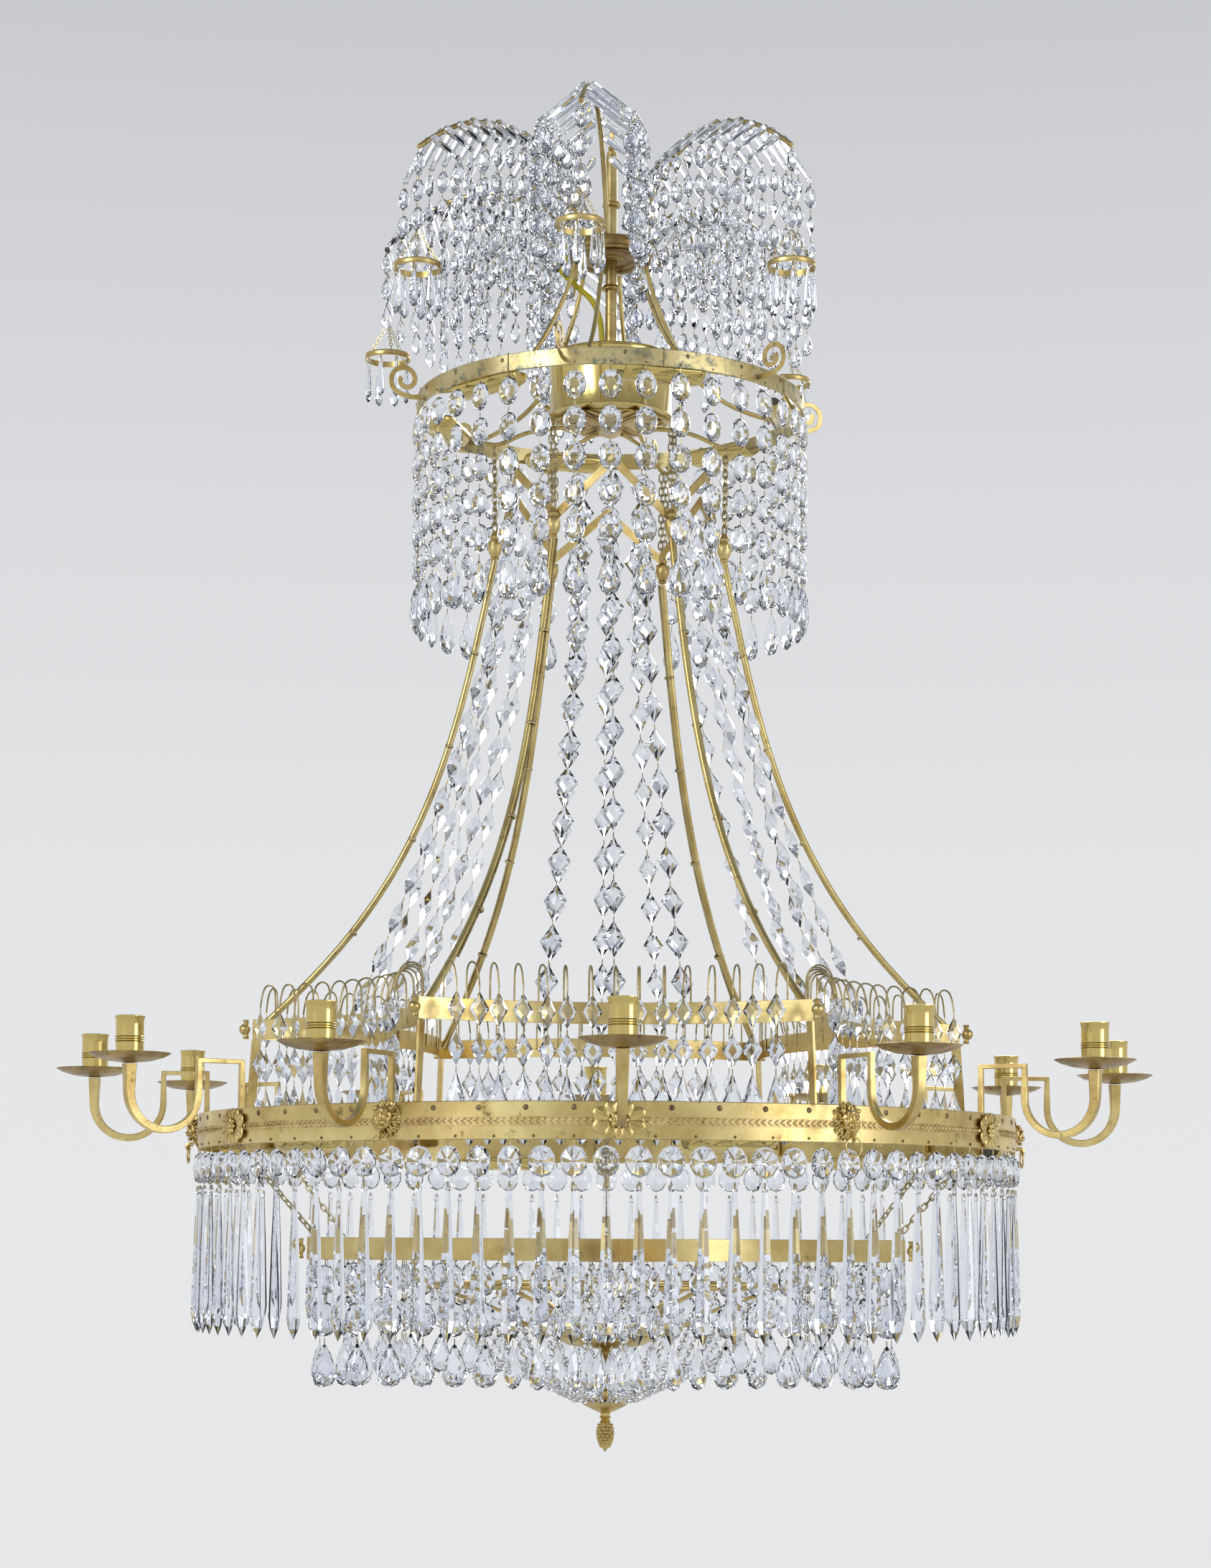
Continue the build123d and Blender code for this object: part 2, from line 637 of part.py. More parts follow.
def stem_sockets():
    """A cast bud over each stem's top."""
    low = SOCKET_TOP - SOCKET_H
    profile = [(STEM_ROD / 2, low), (SOCKET_R, low + SOCKET_H * 0.6), (CHAIN_W / 2, SOCKET_TOP)]
    return around(turned(profile, 6), SIX, STEM_TOP_R, 0, 30 + TURN)


def stem_radius(share):
    """Radius of a stem at a share of its way down: steep at the top and flared at the foot."""
    foot_r = TIER_R - 1.3 * STEM_ROD
    flare = STEM_BELL * share + (1 - STEM_BELL) * share ** 3.4
    return STEM_TOP_R + (foot_r - STEM_TOP_R) * flare


def stems():
    shares = [1 - (1 - k / STEM_RUNS) ** 1.4 for k in range(STEM_RUNS + 1)]
    path = [(stem_radius(s), STEM_TOP - STEM_DROP * s) for s in shares]
    return around(bar(path, polygon(STEM_ROD / 2, 6)), SIX, 0, 0, 30 + TURN)


ZIGZAG_VALLEY = SOCKET_TOP - ZIGZAG_DROP
ZIGZAG_R = STEM_TOP_R - 0.75 * SOCKET_R - SEAT - ZIGZAG_T / 2


def zigzag_crown():
    """A flat strap that runs up and down round the stems' tops."""
    rings = []
    for k in range(2 * SIX):
        a = math.radians(60 + TURN - 90 - 30 * (k % 2 == 0) + 30 * (k - k % 2))
        z = ZIGZAG_VALLEY + (ZIGZAG_H if k % 2 else 0)
        inner, outer = ZIGZAG_R - ZIGZAG_T / 2, ZIGZAG_R + ZIGZAG_T / 2
        corners = ((outer, -1), (inner, -1), (inner, 1), (outer, 1))
        slant = 0.62 * ZIGZAG_W
        rings.append([Vector(r * math.cos(a), r * math.sin(a), z + s * slant) for r, s in corners])
    return [skin(rings, closed=True)]


def garland_lozenges():
    """Three strings to a side, from the zigzag's lower edge out to the tier ring."""
    side = Polyline(*hollow_side(TIER_R, TIER_HOLLOW))
    lozenges = []
    foot_z = TIER_TOP + SEAT
    for lane in (-1, 0, 1):
        top_y, foot_y = (lane * spread for spread in GARLAND_SPREAD)
        share = abs(top_y) / (ZIGZAG_R * math.sin(math.pi / SIX))
        top_x = ZIGZAG_R * (1 - share * (1 - math.cos(math.pi / SIX)))
        top_z = ZIGZAG_VALLEY + ZIGZAG_H * (1 - share) - 0.62 * ZIGZAG_W - SEAT
        foot_x = side.position_at(0.5 + foot_y / side.length).X - GARLAND_TUCK
        knots = []
        for n in range(LOZENGES + 1):
            u = n / LOZENGES
            flare = u ** GARLAND_SAG
            knots.append(
                Vector(
                    top_x + (foot_x - top_x) * flare,
                    top_y + (foot_y - top_y) * flare,
                    top_z + (foot_z - top_z) * u,
                )
            )
        for upper, lower in zip(knots, knots[1:]):
            run = lower - upper
            lean = math.degrees(math.atan2(math.hypot(run.X, run.Y), -run.Z))
            heading = math.degrees(math.atan2(run.Y, run.X))
            lozenge = drop(run.length - SEAT, LOZENGE_W, LOZENGE_D, 0.5)
            spot = Pos(upper) * Rot(0, 0, heading) * Rot(0, -lean, 0)
            lozenges += [Rot(0, 0, TURN - 90 + 60 * s) * spot * lozenge for s in range(SIX)]
    return lozenges


# ------------------------------------------------------------------ fountain tier
def tier_ring():
    return [hollow_band(TIER_R, TIER_HOLLOW, TIER_H, TIER_WALL, TIER_TOP, TURN)]


def corner_balls():
    ball = turned([(0, -BALL_R), (BALL_R, 0), (0, BALL_R)], 6)
    tier_r, lower_r = (
        band_tip(*band) + SEAT + BALL_R * math.cos(math.pi / 6)
        for band in ((TIER_R, TIER_HOLLOW, TIER_WALL), (LOWER_R, LOWER_HOLLOW, LOWER_WALL))
    )
    tier = around(ball, SIX, tier_r, TIER_TOP - TIER_H / 2, 30 + TURN)
    return tier + around(ball, SIX, lower_r, LOWER_TOP - LOWER_H / 2)


def corner_posts():
    """Flat posts under the tier ring's corners, with feet that reach out to the candle arms' legs."""
    foot_z = MAIN_TOP - POST_FOOT_DROP
    foot_r = flat_radius(MAIN_R - MAIN_WALL, MAIN_SIDES) - SEAT - ARM_BAR - SEAT
    path = [(TIER_R - POST_T, TIER_BOTTOM - SEAT - 0.05 * POST_T), (TIER_R + POST_T, foot_z), (foot_r, foot_z)]
    return around(bar(path, rectangle(POST_T, POST_W)), SIX, 0, 0, 30 + TURN)


def arched_wires():
    """Wires soldered inside the band that arch over it and end in a point."""
    inside = -(TIER_WALL / 2 + SEAT + WIRE_W / 2)
    path = [(inside, -WIRE_ROOT), (inside, WIRE_RISE), (WIRE_REACH, WIRE_TIP)]
    wire = bar(path, polygon(-WIRE_W / 2, 3), pointed=True)
    return along_sides(wire, TIER_R, TIER_HOLLOW, WIRES, WIRE_MARGIN, TIER_TOP, TURN, 0)


def tier_drops():
    """The three lozenges below each wire's tip, each string one solid."""
    string = drop(TIER_DROP_L, TIER_DROP_W, TIER_DROP_D, 0.7)
    level = TIER_TOP + WIRE_TIP - SEAT
    return along_sides(string, TIER_R, TIER_HOLLOW, WIRES, WIRE_MARGIN, level, TURN, WIRE_REACH)


# ------------------------------------------------------------------ main ring
def main_ring():
    return [round_band(MAIN_R, MAIN_WALL, MAIN_TOP, MAIN_BOTTOM, MAIN_SIDES)]


MASK_Z = MAIN_TOP - MAIN_H * 0.4
STAPLE_R = MAIN_R + SEAT + MASK_FACE + STAPLE_T + LION_RING_WIRE / 2 + RING_PLAY
STAPLE_Z = MASK_Z - MASK_H / 2 + 2 * STAPLE_T


def lion_masks():
    """A mane, a face and a muzzle in flats, and the staple in the jaw that holds the ring."""
    start = MAIN_R + SEAT
    rings = []
    for share, proud in ((1.0, 0.0), (0.62, MASK_FACE)):
        steps = [2 * math.pi * k / 8 for k in range(8)]
        w, h = share * MASK_W / 2, share * MASK_H / 2
        rings.append([Vector(proud, w * math.sin(a), h * math.cos(a)) for a in steps])
    mask = skin(rings + [[Vector(MASK_NOSE, 0, -0.1 * MASK_H)]])
    gap = LION_RING_WIRE / math.sqrt(2) + RING_PLAY
    reach = gap + STAPLE_T / 2
    path = [(-reach, -reach), (reach, -reach), (reach, reach), (-reach, reach)]
    staple = bar(path, rectangle(STAPLE_T, STAPLE_W), closed=True)
    staples = around(staple, SIX, STAPLE_R, STAPLE_Z, 30 + TURN)
    return around(mask, SIX, start, MASK_Z, 30 + TURN) + staples


def lion_ring(k):
    """A free ring with flats, whose top flat lies in the staple."""
    mid = LION_RING_R - LION_RING_WIRE / 2
    steps = [2 * math.pi * (n + 0.5) / LION_RING_SIDES for n in range(LION_RING_SIDES)]
    fall = mid * math.cos(math.pi / LION_RING_SIDES)
    path = [(mid * math.sin(a), mid * math.cos(a) - fall) for a in steps]
    ring = Rot(0, 0, 90) * bar(path, rectangle(LION_RING_WIRE, LION_RING_WIRE), closed=True)
    return [at(STAPLE_R, 30 + TURN + 60 * k, STAPLE_Z) * ring]


def rosettes():
    """Oval rosettes of ten petals, domed to a raised centre."""
    rim = []
    for k in range(20):
        a = math.pi * k / 10
        share = 0.8 if k % 2 else 1.0
        rim.append(Vector(0, share * ROSETTE_W / 2 * math.cos(a), share * ROSETTE_H / 2 * math.sin(a)))
    rosette = skin([rim, [Vector(ROSETTE_D, 0, 0)]])
    return around(rosette, SIX, MAIN_R + SEAT, MAIN_TOP - MAIN_H / 2, TURN)


def button_drops():
    button = drop(BUTTON_L - SEAT, BUTTON_W, BUTTON_D, 0.45)
    return around(button, BUTTONS, MAIN_R - MAIN_WALL / 2, MAIN_BOTTOM - SEAT)


def spear_prisms():
    spear = drop(SPEAR_L, SPEAR_W, SPEAR_D, 0.86)
    return around(spear, BUTTONS, MAIN_R - MAIN_WALL / 2, MAIN_BOTTOM - SEAT - BUTTON_L)


# ------------------------------------------------------------------ candle arms
LEG_R = flat_radius(MAIN_R - MAIN_WALL, MAIN_SIDES) - SEAT - ARM_BAR / 2
BRACKET_Z = MAIN_TOP + BRACKET_RISE
LOOP_Z = BRACKET_Z - LOOP_DROP
CANDLE_R = LEG_R + BRACKET_OUT + 2 * LOOP_R
ARM_TIP_Z = LOOP_Z + ARM_TIP_RISE
NOZZLE_Z = ARM_TIP_Z + SEAT + PAN_T + NOZZLE_FOOT_R * (PAN_DISH - PAN_T) / PAN_R + SEAT


def candle_arms():
    """Square bars: a leg behind the ring, a flat bracket over it, and a round loop to the pan."""
    out = LEG_R + BRACKET_OUT
    path = [(LEG_R, MAIN_TOP - ARM_TUCK), (LEG_R, BRACKET_Z), (out, BRACKET_Z)]
    for k in range(LOOP_FLATS + 1):
        a = math.pi * (1 + k / LOOP_FLATS)
        path.append((out + LOOP_R + LOOP_R * math.cos(a), LOOP_Z + LOOP_R * math.sin(a)))
    path.append((CANDLE_R, ARM_TIP_Z))
    return around(bar(path, rectangle(ARM_BAR, ARM_BAR)), ARMS, 0, 0, TURN)


def drip_pans():
    """Shallow dished pans with a thin rim."""
    pan = turned([(0, 0), (PAN_R, PAN_DISH), (0, PAN_T)], PAN_SIDES)
    return around(pan, ARMS, CANDLE_R, ARM_TIP_Z + SEAT, TURN)


def candle_nozzles():
    """Turned nozzles with a bore for a candle."""
    outside = [(NOZZLE_FOOT_R, 0), (NOZZLE_R, NOZZLE_FLOOR), (NOZZLE_R, NOZZLE_H)]
    nozzle = turned(outside + [(NOZZLE_BORE_R, NOZZLE_H), (NOZZLE_BORE_R, NOZZLE_FLOOR)], NOZZLE_SIDES)
    return around(nozzle, ARMS, CANDLE_R, NOZZLE_Z, TURN)


# ------------------------------------------------------------------ lower ring and basket
def lower_ring():
    return [hollow_band(LOWER_R, LOWER_HOLLOW, LOWER_H, LOWER_WALL, LOWER_TOP, 30)]


def lower_strings():
    """Two ovals and a pear below the lower ring, each string one solid."""
    string = drop(LOWER_STRING_L, LOWER_STRING_W, LOWER_STRING_D, 0.8)
    level = LOWER_BOTTOM - SEAT
    return along_sides(string, LOWER_R, LOWER_HOLLOW, LOWER_STRINGS, LOWER_MARGIN, level, 30, 0)


def basket_hoop():
    rod = BASKET_ROD / 2
    ring = [(BASKET_R - rod, 0), (BASKET_R, -rod), (BASKET_R + rod, 0), (BASKET_R, rod)]
    return [Pos(0, 0, BASKET_Z) * turned(ring, 24, True)]


def basket_arms():
    """Arms from the middles of the lower ring's sides, under the hoop, and in to the cup."""
    middle = LOWER_R * math.cos(math.pi / SIX) - LOWER_HOLLOW
    start = middle - LOWER_WALL / 2 - SEAT - BASKET_ARM / 2
    under = BASKET_Z - BASKET_ROD / 2 - SEAT - 0.6 * BASKET_ARM
    path = [(start, LOWER_BOTTOM + LOWER_H / 2), (start, LOWER_BOTTOM - 4), (BASKET_R, under)]
    flat_r = CUP_R * math.cos(math.pi / CUP_SIDES)
    path.append((flat_r + SEAT + BASKET_ARM / 4, CUP_TOP - CUP_H * 0.25))
    return around(bar(path, rectangle(BASKET_ARM, BASKET_ARM)), SIX, 0, 0, 30)


def basket_cup():
    """A shallow turned cup that gathers the arms."""
    floor = CUP_BOTTOM + CUP_WALL
    outside = [(CUP_R * 0.4, CUP_BOTTOM), (CUP_R, CUP_TOP - CUP_H / 2), (CUP_R, CUP_TOP)]
    return [turned(outside + [(CUP_R - CUP_WALL, CUP_TOP), (CUP_R * 0.35, floor)], CUP_SIDES)]


def basket_strings():
    """Strings of buttons that hang from the hoop to the leaf dish, each string one solid."""
    top_z = BASKET_Z - BASKET_ROD / 2 - SEAT - BASKET_STRING_W / 6
    foot_r = DISH_R + SEAT + BASKET_STRING_W / 2
    foot_z = DISH_TOP - BASKET_STRING_W / 2
    bend_r = BASKET_R - (BASKET_R - foot_r) * BASKET_BELLY * 0.55
    path = [(BASKET_R, top_z), (bend_r, top_z + (foot_z - top_z) * BASKET_BELLY), (foot_r, foot_z)]
    string = bar(path, polygon(BASKET_STRING_W / 2, 3))
    return around(string, BASKET_STRINGS, 0, 0, 360 / BASKET_STRINGS / 2)


def finial():
    """Spacers, acanthus boss, leaf dish and pinecone, threaded under the cup."""
    upper = turned([(SPACER_R, BOSS_TOP + SEAT), (SPACER_R, CUP_BOTTOM - SEAT)], 6)
    boss_low = BOSS_TOP - BOSS_H
    boss = turned([(SPACER_R, boss_low), (BOSS_R, boss_low + BOSS_H * 0.55), (BOSS_R * 0.6, BOSS_TOP)], 8)
    lower = turned([(SPACER_R, DISH_TOP + SEAT), (SPACER_R, boss_low - SEAT)], 6)
    dish = turned([(CONE_NECK_R, DISH_TOP - DISH_H), (DISH_R, DISH_TOP)], 12)
    shoulder = NECK_TOP - CONE_NECK_H
    cone = [(0, shoulder - CONE_H), (CONE_R * 0.75, shoulder - CONE_H * 0.75)]
    cone += [(CONE_R, shoulder - CONE_H * 0.3), (CONE_NECK_R, shoulder), (CONE_NECK_R, NECK_TOP)]
    return [upper, boss, lower, dish, turned(cone, 8)]


# ------------------------------------------------------------------ supply lead
def supply_lead():
    """The lead leaves the tube over the plate, loops round the plate's edge and drops to the drum."""
    start = TUBE_TOP - LEAD_DROP
    beside = TUBE_R + LEAD_R + SEAT
    clear = PLATE_R + 3 * LEAD_R
    points = [
        (-beside, 0, start),
        (-beside - 14, -3, start + 1),
        (-clear, -8, PLATE_TOP - 2),
        (-clear - 1, -9, PLATE_BOTTOM - 4),
        (-beside - 12, -3, PLATE_BOTTOM - 26),
        (-beside, 0, PLATE_BOTTOM - 58),
        (-beside, 0, DRUM_FLOOR + SEAT),
    ]
    runs = [(Vector(*b) - Vector(*a)).length for a, b in zip(points, points[1:])]
    radii = []
    for i in range(1, len(points) - 1):
        into = Vector(*points[i]) - Vector(*points[i - 1])
        out = Vector(*points[i + 1]) - Vector(*points[i])
        half = math.radians(into.get_angle(out)) / 2
        radii.append(0.45 * min(runs[i - 1], runs[i]) / math.tan(half))
    route = FilletPolyline(*points, radius=radii)
    section = Plane(origin=route @ 0, z_dir=route % 0) * RegularPolygon(LEAD_R, 4)
    lead = sweep(section, path=route)
    return [lead.solid()]


# ------------------------------------------------------------------ the sub-parts, one file each
NODES = {
    "hanging_eye": hanging_eye(),
    "centre_tube": centre_tube(),
    "crown_plate": crown_plate(),
    "frond_spines": frond_spines(),
    "frond_barbs": frond_barbs(),
    "frond_strings": frond_strings(),
    "drum": drum(),
    "rosette_plate": rosette_plate(),
    "spider_arms": spider_arms(),
    "upper_ring": upper_ring(),
    "stay_rods": stay_rods(),
    "volute_scrolls": volute_scrolls(),
    "upper_ovals": upper_ovals(),
    "upper_pears": upper_pears(),
    "lamp_shades": lamp_shades(),
    "lamp_bulbs": lamp_bulbs(),
    "hanging_chains": hanging_chains(),
    "stem_sockets": stem_sockets(),
    "stems": stems(),
    "zigzag_crown": zigzag_crown(),
    "garland_lozenges": garland_lozenges(),
    "tier_ring": tier_ring(),
    "corner_balls": corner_balls(),
    "corner_posts": corner_posts(),
    "arched_wires": arched_wires(),
    "tier_drops": tier_drops(),
    "main_ring": main_ring(),
    "lion_masks": lion_masks(),
    "rosettes": rosettes(),
    "button_drops": button_drops(),
    "spear_prisms": spear_prisms(),
    "candle_arms": candle_arms(),
    "drip_pans": drip_pans(),
    "candle_nozzles": candle_nozzles(),
    "lower_ring": lower_ring(),
    "lower_strings": lower_strings(),
    "basket_hoop": basket_hoop(),
    "basket_arms": basket_arms(),
    "basket_cup": basket_cup(),
    "basket_strings": basket_strings(),
    "finial": finial(),
    "supply_lead": supply_lead(),
}
for k in range(SIX):
    NODES[f"crown_hoop_{k + 1}"] = crown_hoop(k)
    NODES[f"hoop_drops_{k + 1}"] = hoop_drops(k)
    NODES[f"lion_ring_{k + 1}"] = lion_ring(k)

os.makedirs("parts", exist_ok=True)
for name, solids in NODES.items():
    shape = solids[0] if len(solids) == 1 else Compound(children=solids)
    export_step(shape, f"parts/{name}.step")
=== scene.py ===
import math
import random

import bmesh
import bpy
import numpy as np
from mathutils import Matrix, Vector


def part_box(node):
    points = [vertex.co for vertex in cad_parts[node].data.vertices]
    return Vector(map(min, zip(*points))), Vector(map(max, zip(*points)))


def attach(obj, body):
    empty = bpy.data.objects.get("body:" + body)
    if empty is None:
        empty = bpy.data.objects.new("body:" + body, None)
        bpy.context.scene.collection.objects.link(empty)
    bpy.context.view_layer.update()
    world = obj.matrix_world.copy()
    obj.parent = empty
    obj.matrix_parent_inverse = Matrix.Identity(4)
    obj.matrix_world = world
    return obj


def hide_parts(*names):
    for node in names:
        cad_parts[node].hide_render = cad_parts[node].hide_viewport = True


# A gilt-brass and cut-glass chandelier. Sizes are written in mm and turned to metres when a piece
# is finished. Compass angles are degrees from the front, growing towards +X.
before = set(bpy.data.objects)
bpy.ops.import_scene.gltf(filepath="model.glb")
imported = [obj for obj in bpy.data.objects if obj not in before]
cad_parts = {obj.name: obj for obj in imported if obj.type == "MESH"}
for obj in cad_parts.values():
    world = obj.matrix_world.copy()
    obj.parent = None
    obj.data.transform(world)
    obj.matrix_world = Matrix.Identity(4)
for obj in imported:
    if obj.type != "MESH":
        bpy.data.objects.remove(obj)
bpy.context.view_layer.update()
draw = random.Random(7)
draw_mane = random.Random(3)
draw_basket = random.Random(5)

MM = 0.001
METRE = 1000                        # in mm
HERE = [Matrix.Identity(4)]
SIX = 6
CANDLES = 12
TURN = 1.5                          # how far the candle ring is turned against the crown
CORNER = 30 + TURN                  # compass angle of the tier's first corner
UPPER_R, MAIN_R, TIER_R, LOWER_R, BASKET_R = 186.0, 384.0, 335.0, 308.0, 160.0
UPPER_WALL, MAIN_WALL = 2.0, 1.6
TUBE_R = 5.5
PLATE_R = 42.0
SEAT = 0.3                          # the gap between a piece and what carries it
MAIN_INNER = (MAIN_R - 2) * math.cos(math.pi / 60)
ARM_HALF = 3.25
BRACKET_OUT = 41.0
LOOP_R = 32.5
LEG_R = MAIN_INNER - SEAT - ARM_HALF
CANDLE_R = LEG_R + BRACKET_OUT + 2 * LOOP_R
FRONDS = (-7.0, 46.0, 128.0, -170.0, -106.0, -51.0)
RISES = (98.0, 84.0, 63.0, 66.0, 63.0, 86.0)
STAY_TURN = -13.0
LEAD_R = 2.75


def levels(node):
    """Lowest and highest level of a CAD node, in mm."""
    low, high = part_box(node)
    return low.z * METRE, high.z * METRE


TUBE_LOW, TUBE_TOP = levels("centre_tube")
PLATE_LOW, PLATE_TOP = levels("crown_plate")
DRUM_LOW, DRUM_TOP = levels("drum")
RING_LOW, RING_TOP = levels("upper_ring")
TIER_LOW, TIER_TOP = levels("tier_ring")
MAIN_LOW, MAIN_TOP = levels("main_ring")
LOWER_LOW, LOWER_TOP = levels("lower_ring")
BASKET_LOW, BASKET_TOP = levels("basket_hoop")
HOOP_Z = (BASKET_LOW + BASKET_TOP) / 2
PAN_LOW, PAN_TOP = levels("drip_pans")


# ---- materials
def linear(colour):
    """An sRGB hex colour as linear RGBA."""
    parts = [int(colour[i : i + 2], 16) / 255 for i in (1, 3, 5)]
    return tuple(p / 12.92 if p <= 0.04045 else ((p + 0.055) / 1.055) ** 2.4 for p in parts) + (1.0,)


def add(tree, kind, links=(), values=(), **settings):
    """One node with its incoming links, socket values and settings."""
    made = tree.nodes.new(kind)
    for key, value in settings.items():
        setattr(made, key, value)
    for socket, value in values:
        made.inputs[socket].default_value = value
    for socket, source in links:
        tree.links.new(source, made.inputs[socket])
    return made


def new_material(name):
    material = bpy.data.materials.new(name)
    material.use_nodes = True
    tree = material.node_tree
    tree.nodes.clear()
    shader = add(tree, "ShaderNodeBsdfPrincipled")
    add(tree, "ShaderNodeOutputMaterial", [("Surface", shader.outputs["BSDF"])])
    return material, tree, shader


def cast_brass(name, pale, deep, tarnish, share, rough, grain_mm, patch_mm=35.0):
    """Gilt brass: pale gold that has thinned to deeper brass, with spots of tarnish."""
    material, tree, shader = new_material(name)
    place = add(tree, "ShaderNodeTexCoord").outputs["Object"]
    patches = add(tree, "ShaderNodeTexNoise", [("Vector", place)], [("Scale", METRE / patch_mm),
                                                                    ("Detail", 5.0), ("Roughness", 0.6)])
    spread = add(tree, "ShaderNodeMapRange", [("Value", patches.outputs["Fac"])],
                 [("From Min", 0.35), ("From Max", 0.68)])
    gilt = add(tree, "ShaderNodeMix", [("Factor", spread.outputs["Result"])],
               [(6, linear(pale)), (7, linear(deep))], data_type="RGBA")
    spots = add(tree, "ShaderNodeTexNoise", [("Vector", place)], [("Scale", METRE / (patch_mm * 0.35)),
                                                                  ("Detail", 8.0), ("Roughness", 0.75)])
    edge = add(tree, "ShaderNodeMapRange", [("Value", spots.outputs["Fac"])], [("From Min", 0.62 - share),
                                                                               ("From Max", 0.72 - share),
                                                                               ("To Max", 0.8)])
    worn = add(tree, "ShaderNodeMix", [("Factor", edge.outputs["Result"]), (6, gilt.outputs[2])],
               [(7, linear(tarnish))], data_type="RGBA")
    dull = add(tree, "ShaderNodeMapRange", [("Value", spots.outputs["Fac"])],
               [("From Min", 0.3), ("From Max", 0.75), ("To Min", rough), ("To Max", rough + 0.2)])
    grain = add(tree, "ShaderNodeTexNoise", [("Vector", place)], [("Scale", METRE / grain_mm),
                                                                  ("Detail", 3.0)])
    bump = add(tree, "ShaderNodeBump", [("Height", grain.outputs["Fac"])],
               [("Strength", 0.18), ("Distance", 0.4 * MM)])
    tree.links.new(worn.outputs[2], shader.inputs["Base Color"])
    tree.links.new(dull.outputs["Result"], shader.inputs["Roughness"])
    tree.links.new(bump.outputs["Normal"], shader.inputs["Normal"])
    shader.inputs["Metallic"].default_value = 1.0
    return material


def two_tone(name, first, second, rough, scale, detail, strength, depth_mm, stretch=None, sockets=()):
    """A surface whose two tones and whose slight relief follow one pattern, of that many per metre."""
    material, tree, shader = new_material(name)
    place = add(tree, "ShaderNodeTexCoord").outputs["Object"]
    if stretch:
        place = add(tree, "ShaderNodeMapping", [("Vector", place)], [("Scale", stretch)]).outputs["Vector"]
    pattern = add(tree, "ShaderNodeTexNoise", [("Vector", place)], [("Scale", scale), ("Detail", detail)])
    tone = add(tree, "ShaderNodeMix", [("Factor", pattern.outputs["Fac"])],
               [(6, linear(first)), (7, linear(second))], data_type="RGBA")
    bump = add(tree, "ShaderNodeBump", [("Height", pattern.outputs["Fac"])], [("Strength", strength),
                                                                              ("Distance", depth_mm * MM)])
    tree.links.new(tone.outputs[2], shader.inputs["Base Color"])
    tree.links.new(bump.outputs["Normal"], shader.inputs["Normal"])
    shader.inputs["Roughness"].default_value = rough
    for socket, value in sockets:
        shader.inputs[socket].default_value = value
    return material


def lead_crystal(name, tint, rough, cord_mm):
    """Lead crystal: colourless and bright, with faint cords inside from its drawing."""
    return two_tone(name, "#FFFFFF", tint, rough, METRE / cord_mm, 2.0, 0.05, 0.3,
                    sockets=[("IOR", 1.55), ("Transmission Weight", 1.0)])


# Gilt brass, cast, chased and worn by hands: pale gold highlights, deeper brass in patches and a
# few brown spots. The grain that a file leaves is drawn 1.5 mm coarse so that it shows.
GILT = cast_brass("gilt_brass", "#DFCB8C", "#AE9257", "#5C4724", 0.03, 0.24, 1.5)
# Sheet brass of the bands, rolled and burnished: smoother, with larger patches of old handling.
BAND = cast_brass("rolled_band_brass", "#E2D093", "#B89D60", "#66532B", 0.04, 0.22, 2.5, 60.0)
# The upper ring's brass, its gilding thinned so that a blue-green bloom shows through.
BLOOM = cast_brass("bloomed_band_brass", "#D9CB98", "#A9986A", "#5F6F6A", 0.1, 0.3, 2.5, 45.0)
# Drawn brass rod, lacquered long ago: the lacquer has browned in spots along the stems.
ROD = cast_brass("browned_rod_brass", "#DAC788", "#AC935A", "#5E4A26", 0.03, 0.25, 2.0, 50.0)
# Brass wire and chain, dulled between the links.
WIRE = cast_brass("dull_wire_brass", "#C6B78C", "#8E8058", "#57492C", 0.05, 0.34, 1.5, 20.0)
# Screws and nails, browned iron with worn crowns.
SCREW = cast_brass("browned_screw_metal", "#8F7F5E", "#6A5A3E", "#3A3020", 0.08, 0.34, 1.0, 12.0)
# The stamped leaf strip, pale gold on its crowns and a little rosier in its hollows.
LEAFY = cast_brass("stamped_strip_brass", "#E0CB94", "#B99F69", "#6E5838", 0.04, 0.26, 1.2, 18.0)
# A darker brass for the drip pans, the crown plate and the leaves of the lowest dish.
PAN = cast_brass("darker_brass", "#B59C62", "#806640", "#46341E", 0.06, 0.26, 2.0, 30.0)
# Lathe-polished brass: bright, with fine rings left by the polishing mop, about 1 mm apart.
POLISHED = two_tone("lathe_polished_brass", "#D9C683", "#C6AE66", 0.16, 1.0, 4.0, 0.12, 0.2,
                    (2.0, 2.0, 900.0), [("Metallic", 1.0)])
# Lead crystal of the drops: clear, a trace cool, its cut faces polished on a wheel.
CRYSTAL = lead_crystal("cut_lead_crystal", "#E3EAF6", 0.01, 9.0)
# Older hand-drawn glass of the fronds' rods, a little greyer and less smooth.
DRAWN = lead_crystal("drawn_rod_glass", "#D6DDE8", 0.04, 6.0)
# Blown lamp glass, thin and even, a trace warm.
LAMP = lead_crystal("blown_lamp_glass", "#F6F1E2", 0.05, 12.0)
# The supply lead's sheath, extruded yellow PVC, slightly glossy and a little grubby.
SHEATH = two_tone("yellow_pvc_sheath", "#D9CC2B", "#BBA81C", 0.42, METRE / 8.0, 4.0, 0.1, 0.3)
# The lamp holders, moulded grey thermoset with a dry, matt skin.
HOLDER = two_tone("grey_moulded_holder", "#6C6A66", "#4E4C48", 0.6, METRE / 3.0, 4.0, 0.25, 0.3)


# ---- places
def turned(axis, degrees):
    return Matrix.Rotation(math.radians(degrees), 4, axis)


def moved(x, y=0.0, z=0.0):
    return Matrix.Translation((x, y, z))


